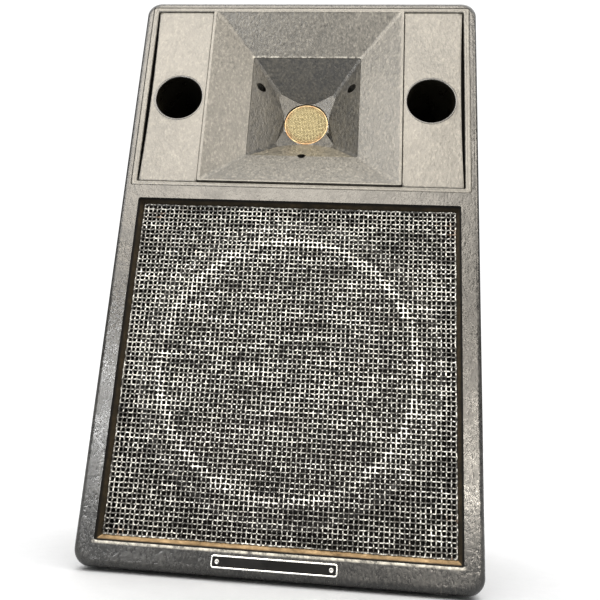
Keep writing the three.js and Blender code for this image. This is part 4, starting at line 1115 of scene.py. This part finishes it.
def woofer():
    lo = box_mm("woofer_basket")[0]
    basket = turned("basket", [
        (154.5, lo.y), (154.5, lo.y + 4), (141.4, lo.y + 4), (140.6, 33), (83, 90.6), (81, 94), (68, 94),
        (65.5, 100), (46, 100), (46, 98), (64, 98), (66, 91.6), (79, 91.6), (80.6, 88.6), (138, 31.6),
        (138, lo.y),
    ], 0, WOOFER_Z, 96)
    cuts = []
    for k in range(6):
        turn = k * math.pi / 3
        c, s = math.cos(turn), math.sin(turn)
        opening = outline(-34, 34, 44, 84, 9, 5)
        cuts.append(loft("window", [
            [(u * c + reach * s, y, WOOFER_Z + reach * c - u * s) for u, y in opening] for reach in (60, 150)
        ]))
    for i in range(1, 5):
        c = middle(f"woofer_screw_{i}")
        cuts.append(rod("hole", c.x, c.z, 2.4, lo.y - 1, lo.y + 6, 24))
    carve(basket, cuts)
    soften(basket, 0.8, 2)
    place(basket, "basket", "cabinet", "black_steel", "woofer_basket")
    about(WOOFER_Z, "gasket", ring_profile("woofer_gasket", 140.6), "foam", "cabinet", "closed_foam",
          "woofer_gasket", bevel=0.6)

    def roll(radius, start, end, steps):
        turns = [math.radians(start + (end - start) * i / steps) for i in range(steps + 1)]
        return [(134 + radius * math.cos(a), 26 + 1.15 * radius * math.sin(a)) for a in turns]

    profile = [
        (145.5, 24.7), (145.5, 25.4), *roll(4.8, -7, -180, 14), (129.2, 31.6), (128.6, 32.9), (121, 32.9),
        (121, 32.2), (127.6, 32.2), *roll(5.6, -180, -12, 14),
    ]
    surround = turned("surround", profile, 0, WOOFER_Z, 128, "y", 50)
    place(surround, "surround", None, "rubber", "woofer_surround")
    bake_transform(surround)

    stations = [128 - 102.2 * i / 40 for i in range(41)]
    front = [(r, cone_depth(r) - 0.1 + 0.16 * math.cos(r * 0.9)) for r in stations]
    rear = [(r, y + 1.0) for r, y in reversed(front)]
    about(WOOFER_Z, "cone", front + rear, "paper", "cone_unit", "cone_paper", "woofer_cone",
          sides=128, angle=60)
    edge = cone_depth(40) - 0.3
    dome = [
        (0.01, edge - 14), (8, edge - 13.5), (16, edge - 12), (24, edge - 9.2), (31, edge - 5.2),
        (36.5, edge - 0.8), (37.6, edge - 0.5), (40, edge - 1.2), (40, edge - 0.4), (37.4, edge + 0.2),
        (36, edge + 0.1), (30.4, edge - 4.4), (23.5, edge - 8.4), (15.7, edge - 11.2), (7.8, edge - 12.7),
        (0.01, edge - 13.1),
    ]
    about(WOOFER_Z, "dust_cap", dome, "paper", "cone_unit", "cone_paper", "woofer_dust_cap", angle=60)
    former = [(24.9, 76.8), (25.5, 76.8), (25.5, 99)]
    t = 99.0
    while t < 112.6:
        former += [(25.85, t + 0.05), (26.1, t + 0.35), (25.85, t + 0.65)]
        t += 0.7
    former += [(25.5, 113), (24.9, 113)]
    about(WOOFER_Z, "voice_coil", former, "copper_y", "cone_unit", "copper_coil", "woofer_voice_coil",
          angle=60)

    front, rear = [], []
    steps, waves = 48, 4
    for i in range(steps + 1):
        t = i / steps
        r, y = 70 - 42.6 * t, 90.6 - 8.0 * t - 1.2 * math.sin(2 * math.pi * waves * t)
        front.append((r, y - 0.3))
        rear.insert(0, (r, y + 0.3))
    collar = [(26.3, 80.2), (26.3, 84.6)]
    spider = turned("spider", [(76.5, 90.5), *front, *collar, *rear, (76.5, 91.2)], 0, WOOFER_Z, 96, "y", 60)
    place(spider, "spider", None, "spider_cloth", "woofer_spider")
    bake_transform(spider)

    about(WOOFER_Z, "pole_plate", ring_profile("woofer_top_plate", 27), "zinc", "cabinet", "zinc_steel",
          "woofer_top_plate", bevel=0.8)
    about(WOOFER_Z, "ring_magnet", ring_profile("woofer_magnet", 38), "ferrite", "cabinet", "ferrite",
          "woofer_magnet", bevel=1.2)
    back = box_mm("woofer_magnet")[1].y
    yoke = [
        (0.01, 99), (22.6, 99), (24, 100.4), (24, back + 0.3), (65, back + 0.3), (65, back + 7),
        (62, back + 9), (12, back + 9), (10, back + 6), (0.01, back + 6),
    ]
    about(WOOFER_Z, "back_plate", yoke, "zinc", "cabinet", "zinc_steel", "woofer_yoke", bevel=0.6)


def tweeter():
    lo, hi = box_mm("tweeter_faceplate")
    plate = turned("driver_plate", ring_profile("tweeter_faceplate", 26), 0, HORN_Z, 96)
    fixings = [middle(f"tweeter_screw_{i}") for i in (1, 2, 3)]
    carve(plate, [rod("hole", c.x, c.z, 1.9, lo.y - 1, hi.y + 1, 20) for c in fixings])
    soften(plate, 0.6, 2)
    place(plate, "aluminium", "cabinet", "aluminium", "tweeter_faceplate")
    crest = box_mm("tweeter_dome")[0].y
    dome = [
        (0.01, crest), (7, crest + 0.45), (14, crest + 1.8), (19, crest + 3.5), (22.5, crest + 5.4),
        (23.3, crest + 4.9), (24.4, crest + 4.6), (25.5, crest + 5), (25.5, crest + 5.6), (24.6, crest + 5.3),
        (23.8, crest + 6), (23.8, 77), (23, 77), (23, crest + 6.2), (18.6, crest + 4.1), (14, crest + 2.4),
        (7, crest + 1.05), (0.01, crest + 0.6),
    ]
    back = box_mm("tweeter_magnet")[1].y
    yoke = [
        (0.01, 69.6), (21.4, 69.6), (22.2, 70.2), (22.2, back + 0.3), (42, back + 0.3), (42, back + 4.3),
        (8, back + 4.3), (7, back + 3), (0.01, back + 3),
    ]
    about(HORN_Z, "silk_dome", dome, "dome", "dome_unit", "dome_fabric", "tweeter_dome", 72, angle=60)
    for name, profile, look, slot, node, bevel in (
        ("driver_pole_plate", ring_profile("tweeter_top_plate", 24.8), "zinc", "zinc_steel", "top_plate",
         0.5),
        ("driver_magnet", ring_profile("tweeter_magnet", 31), "ferrite", "ferrite", "magnet", 1.0),
        ("driver_yoke", yoke, "zinc", "zinc_steel", "yoke", 0.4),
    ):
        about(HORN_Z, name, profile, look, "cabinet", slot, f"tweeter_{node}", 72, bevel)


# ---------------------------------------------------------------- inside
def crossover():
    lo, hi = box_mm("crossover_board")
    board = block("filter_board", lo.x, hi.x, lo.y, hi.y, lo.z, hi.z)
    carve(board, [rod("hole", x, z, 1.6, lo.y - 1, hi.y + 1, 20)
                  for x in (lo.x + 6, hi.x - 6) for z in (lo.z + 6, hi.z - 6)])
    place(board, "board", "cabinet", "circuit_board", "crossover_board")
    lo, hi = box_mm("crossover_coil")
    c, base = middle("crossover_coil"), lo.y
    winding = []
    t = 2.7
    while t < 21.2:
        winding += [(21.4, base + t), (22, base + t + 0.5)]
        t += 1.0
    profile = [
        (9, base), (22, base), (23.1, base + 0.4), (23.1, base + 2.2), *winding, (22, base + 21.6),
        (23.1, base + 21.9), (23.1, base + 23.6), (22, base + 24), (9, base + 24),
    ]
    coil = turned("filter_coil", profile, c.x, c.z, 64)
    place(coil, "copper_coil", "cabinet", "copper_coil", "crossover_coil")
    lo, hi = box_mm("crossover_capacitor")
    c = middle("crossover_capacitor")
    r = (hi.z - lo.z) / 2 - 0.05
    x = hi.x
    can = [
        (0.01, x - 40), (r - 0.6, x - 40), (r, x - 39.3), (r, x - 36), (r - 0.8, x - 34.6), (r, x - 33.2),
        (r, x - 0.8), (r - 0.8, x), (r - 1.6, x), (r - 1.9, x - 0.5), (0.01, x - 0.5),
    ]
    capacitor = turned("filter_capacitor", can, (lo.y + hi.y) / 2, c.z, 48, "x", 40)
    place(capacitor, "sleeve", "cabinet", "capacitor_sleeve", "crossover_capacitor")


def damping_pad():
    """Wadding that swells between its stitched edges: a cloth solve inside the CAD pad's space."""
    lo, hi = box_mm("damping_pad")
    voxel, most_swell, quilt_depth, threads = 6 * MM, 5 * MM, 0.0016, 70
    pad = slab("wadding_pad", outline(lo.x + 3, hi.x - 3, lo.z + 3, hi.z - 3, 16), lo.y + 6, hi.y - 6)
    remesh = pad.modifiers.new("remesh", "REMESH")
    remesh.mode, remesh.voxel_size = "VOXEL", voxel
    apply_modifiers(pad)
    rest = np.array([v.co[:] for v in pad.data.vertices])
    cloth = pad.modifiers.new("swell", "CLOTH")
    cloth.settings.use_pressure = True
    cloth.settings.uniform_pressure_force = 4
    cloth.settings.effector_weights.gravity = 0
    for step in range(1, 21):
        bpy.context.scene.frame_set(step)
    apply_modifiers(pad)
    bpy.context.scene.frame_set(1)
    now = np.array([v.co[:] for v in pad.data.vertices])
    move = now - rest if len(now) == len(rest) else now * 0
    size = np.linalg.norm(move, axis=1, keepdims=True)
    move *= np.minimum(1, most_swell / np.maximum(size, 1e-9))
    low, high = np.array(at(lo.x, lo.y, lo.z)), np.array(at(hi.x, hi.y, hi.z))
    placed = np.clip(rest + move, low, high)
    quilt = np.sin(placed[:, 0] * threads) * np.sin(placed[:, 2] * threads)
    placed[:, 1] += np.where(placed[:, 1] < low[1] + 0.014, 1, -1) * np.abs(quilt) * quilt_depth
    pad.data.vertices.foreach_set("co", placed.astype(np.float32).ravel())
    pad.data.update()
    pad.modifiers.new("finer", "SUBSURF").levels = 1
    pad.modifiers["finer"].render_levels = 1
    apply_modifiers(pad)
    tidy(pad, 80)
    place(pad, "wadding", "cabinet", "wadding", "damping_pad")


KEPT = {"joint_seal": "foam", "woofer_lead": "lead", "tweeter_lead": "lead"}


def kept_nodes():
    for name, look in KEPT.items():
        node = NODES[name]
        node.data.materials.clear()
        node.data.materials.append(M[look])


CAMERA_PLACE = (0.05031, -0.66947, 0.13578)  # metres
CAMERA_TILT, CAMERA_ROLL, CAMERA_HEADING = 103.066, -3.266, 3.664  # degrees, turned in this order
CAMERA_LENS = 33.3  # mm on a 36 mm sensor


def camera():
    """A low viewpoint that looks up at the cabinet, as in the photograph."""
    data = bpy.data.cameras.new("camera")
    data.sensor_width = 36.0
    data.lens = CAMERA_LENS
    cam = bpy.data.objects.new("camera", data)
    cam.location = CAMERA_PLACE
    cam.rotation_euler = [math.radians(a) for a in (CAMERA_TILT, CAMERA_ROLL, CAMERA_HEADING)]
    bpy.context.scene.collection.objects.link(cam)
    bpy.context.scene.camera = cam


def area_light(name, place, target, size, power, colour=(1, 1, 1)):
    data = bpy.data.lights.new(name, "AREA")
    data.shape = "RECTANGLE"
    data.size, data.size_y = size
    data.energy = power
    data.color = colour
    lamp = bpy.data.objects.new(name, data)
    aim = Vector(target) - Vector(place)
    lamp.matrix_world = Matrix.Translation(place) @ aim.to_track_quat("-Z", "Y").to_matrix().to_4x4()
    lamp.visible_camera = False
    bpy.context.scene.collection.objects.link(lamp)
    return lamp


BACKDROP = 1.12  # the white world as the camera sees it
AMBIENT = (0.25, 3.0)  # as it lights the room: dim at the sides, bright overhead


def studio():
    world = bpy.data.worlds.new("studio")
    bpy.context.scene.world = world
    world.use_nodes = True
    tree = world.node_tree
    back = tree.nodes["Background"]
    back.inputs["Color"].default_value = (1, 1, 1, 1)
    seen = tree.nodes.new("ShaderNodeLightPath").outputs["Is Camera Ray"]
    way = tree.nodes.new("ShaderNodeSeparateXYZ")
    tree.links.new(tree.nodes.new("ShaderNodeTexCoord").outputs["Generated"], way.inputs[0])
    sky = tree.nodes.new("ShaderNodeMapRange")
    tree.links.new(way.outputs["Z"], sky.inputs["Value"])
    for socket, value in zip(("From Min", "From Max", "To Min", "To Max"), (0.55, 0.95, *AMBIENT)):
        sky.inputs[socket].default_value = value
    level = tree.nodes.new("ShaderNodeMix")
    level.inputs["B"].default_value = BACKDROP
    for source, socket in ((seen, "Factor"), (sky.outputs[0], "A")):
        tree.links.new(source, level.inputs[socket])
    tree.links.new(level.outputs["Result"], back.inputs["Strength"])
    warm = (1.0, 0.92, 0.80)
    lamps = [
        area_light("key", (-0.24, -1.9, 1.44), (0, -0.14, 0.35), (2.0, 1.5), 128, warm),
        area_light("wing_right", (1.7, -1.2, 1.4), (0, -0.14, 0.48), (1.2, 1.0), 46, warm),
        area_light("wing_left", (-1.6, -1.35, 1.4), (0, -0.14, 0.48), (1.0, 1.0), 26, (1.0, 0.97, 0.92)),
        area_light("overhead", (0.0, -0.55, 2.3), (0, -0.25, 0.4), (1.6, 1.1), 6, warm),
        area_light("low_right", (0.60, -1.7, 0.24), (0.17, -0.14, 0.16), (0.32, 0.42), 13, warm),
        area_light("low_left", (-0.84, -1.7, 0.19), (-0.17, -0.14, 0.13), (0.30, 0.34), 17, (1.0, 1.0, 0.99)),
        area_light("kick_right", (0.30, -0.62, 0.05), (0.176, -0.142, 0.06), (0.07, 0.07), 1.2, warm),
    ]
    r = 6.0
    floor = new_object("floor", [(-r, -r, 0), (r, -r, 0), (r, r, 0), (-r, r, 0)], [(0, 1, 2, 3)])
    floor.data.materials.append(plain_grain("pale_floor", (0.95, 0.95, 0.95), 0.8, 0.02, 3, 0.02))
    unlit = bpy.data.collections.new("not_lit_by_lamps")
    unlit.objects.link(floor)
    unlit.collection_objects[0].light_linking.link_state = "EXCLUDE"
    for lamp in lamps:
        lamp.light_linking.receiver_collection = unlit
    bpy.context.scene.view_settings.view_transform = "Standard"


camera()
studio()
front_half()
rear_half()
handle_cup(-1, "handle_cup_left")
handle_cup(1, "handle_cup_right")
top_bezel()
for side, word in ((-1, "left"), (1, "right")):
    vent_panel(side, f"vent_panel_{word}")
    vent_tube(side, f"vent_tube_{word}")
horn()
grille_mesh()
tweeter_screen()
badge()
feet()
screws()
input_panel()
stand_socket()
woofer()
tweeter()
crossover()
damping_pad()
kept_nodes()
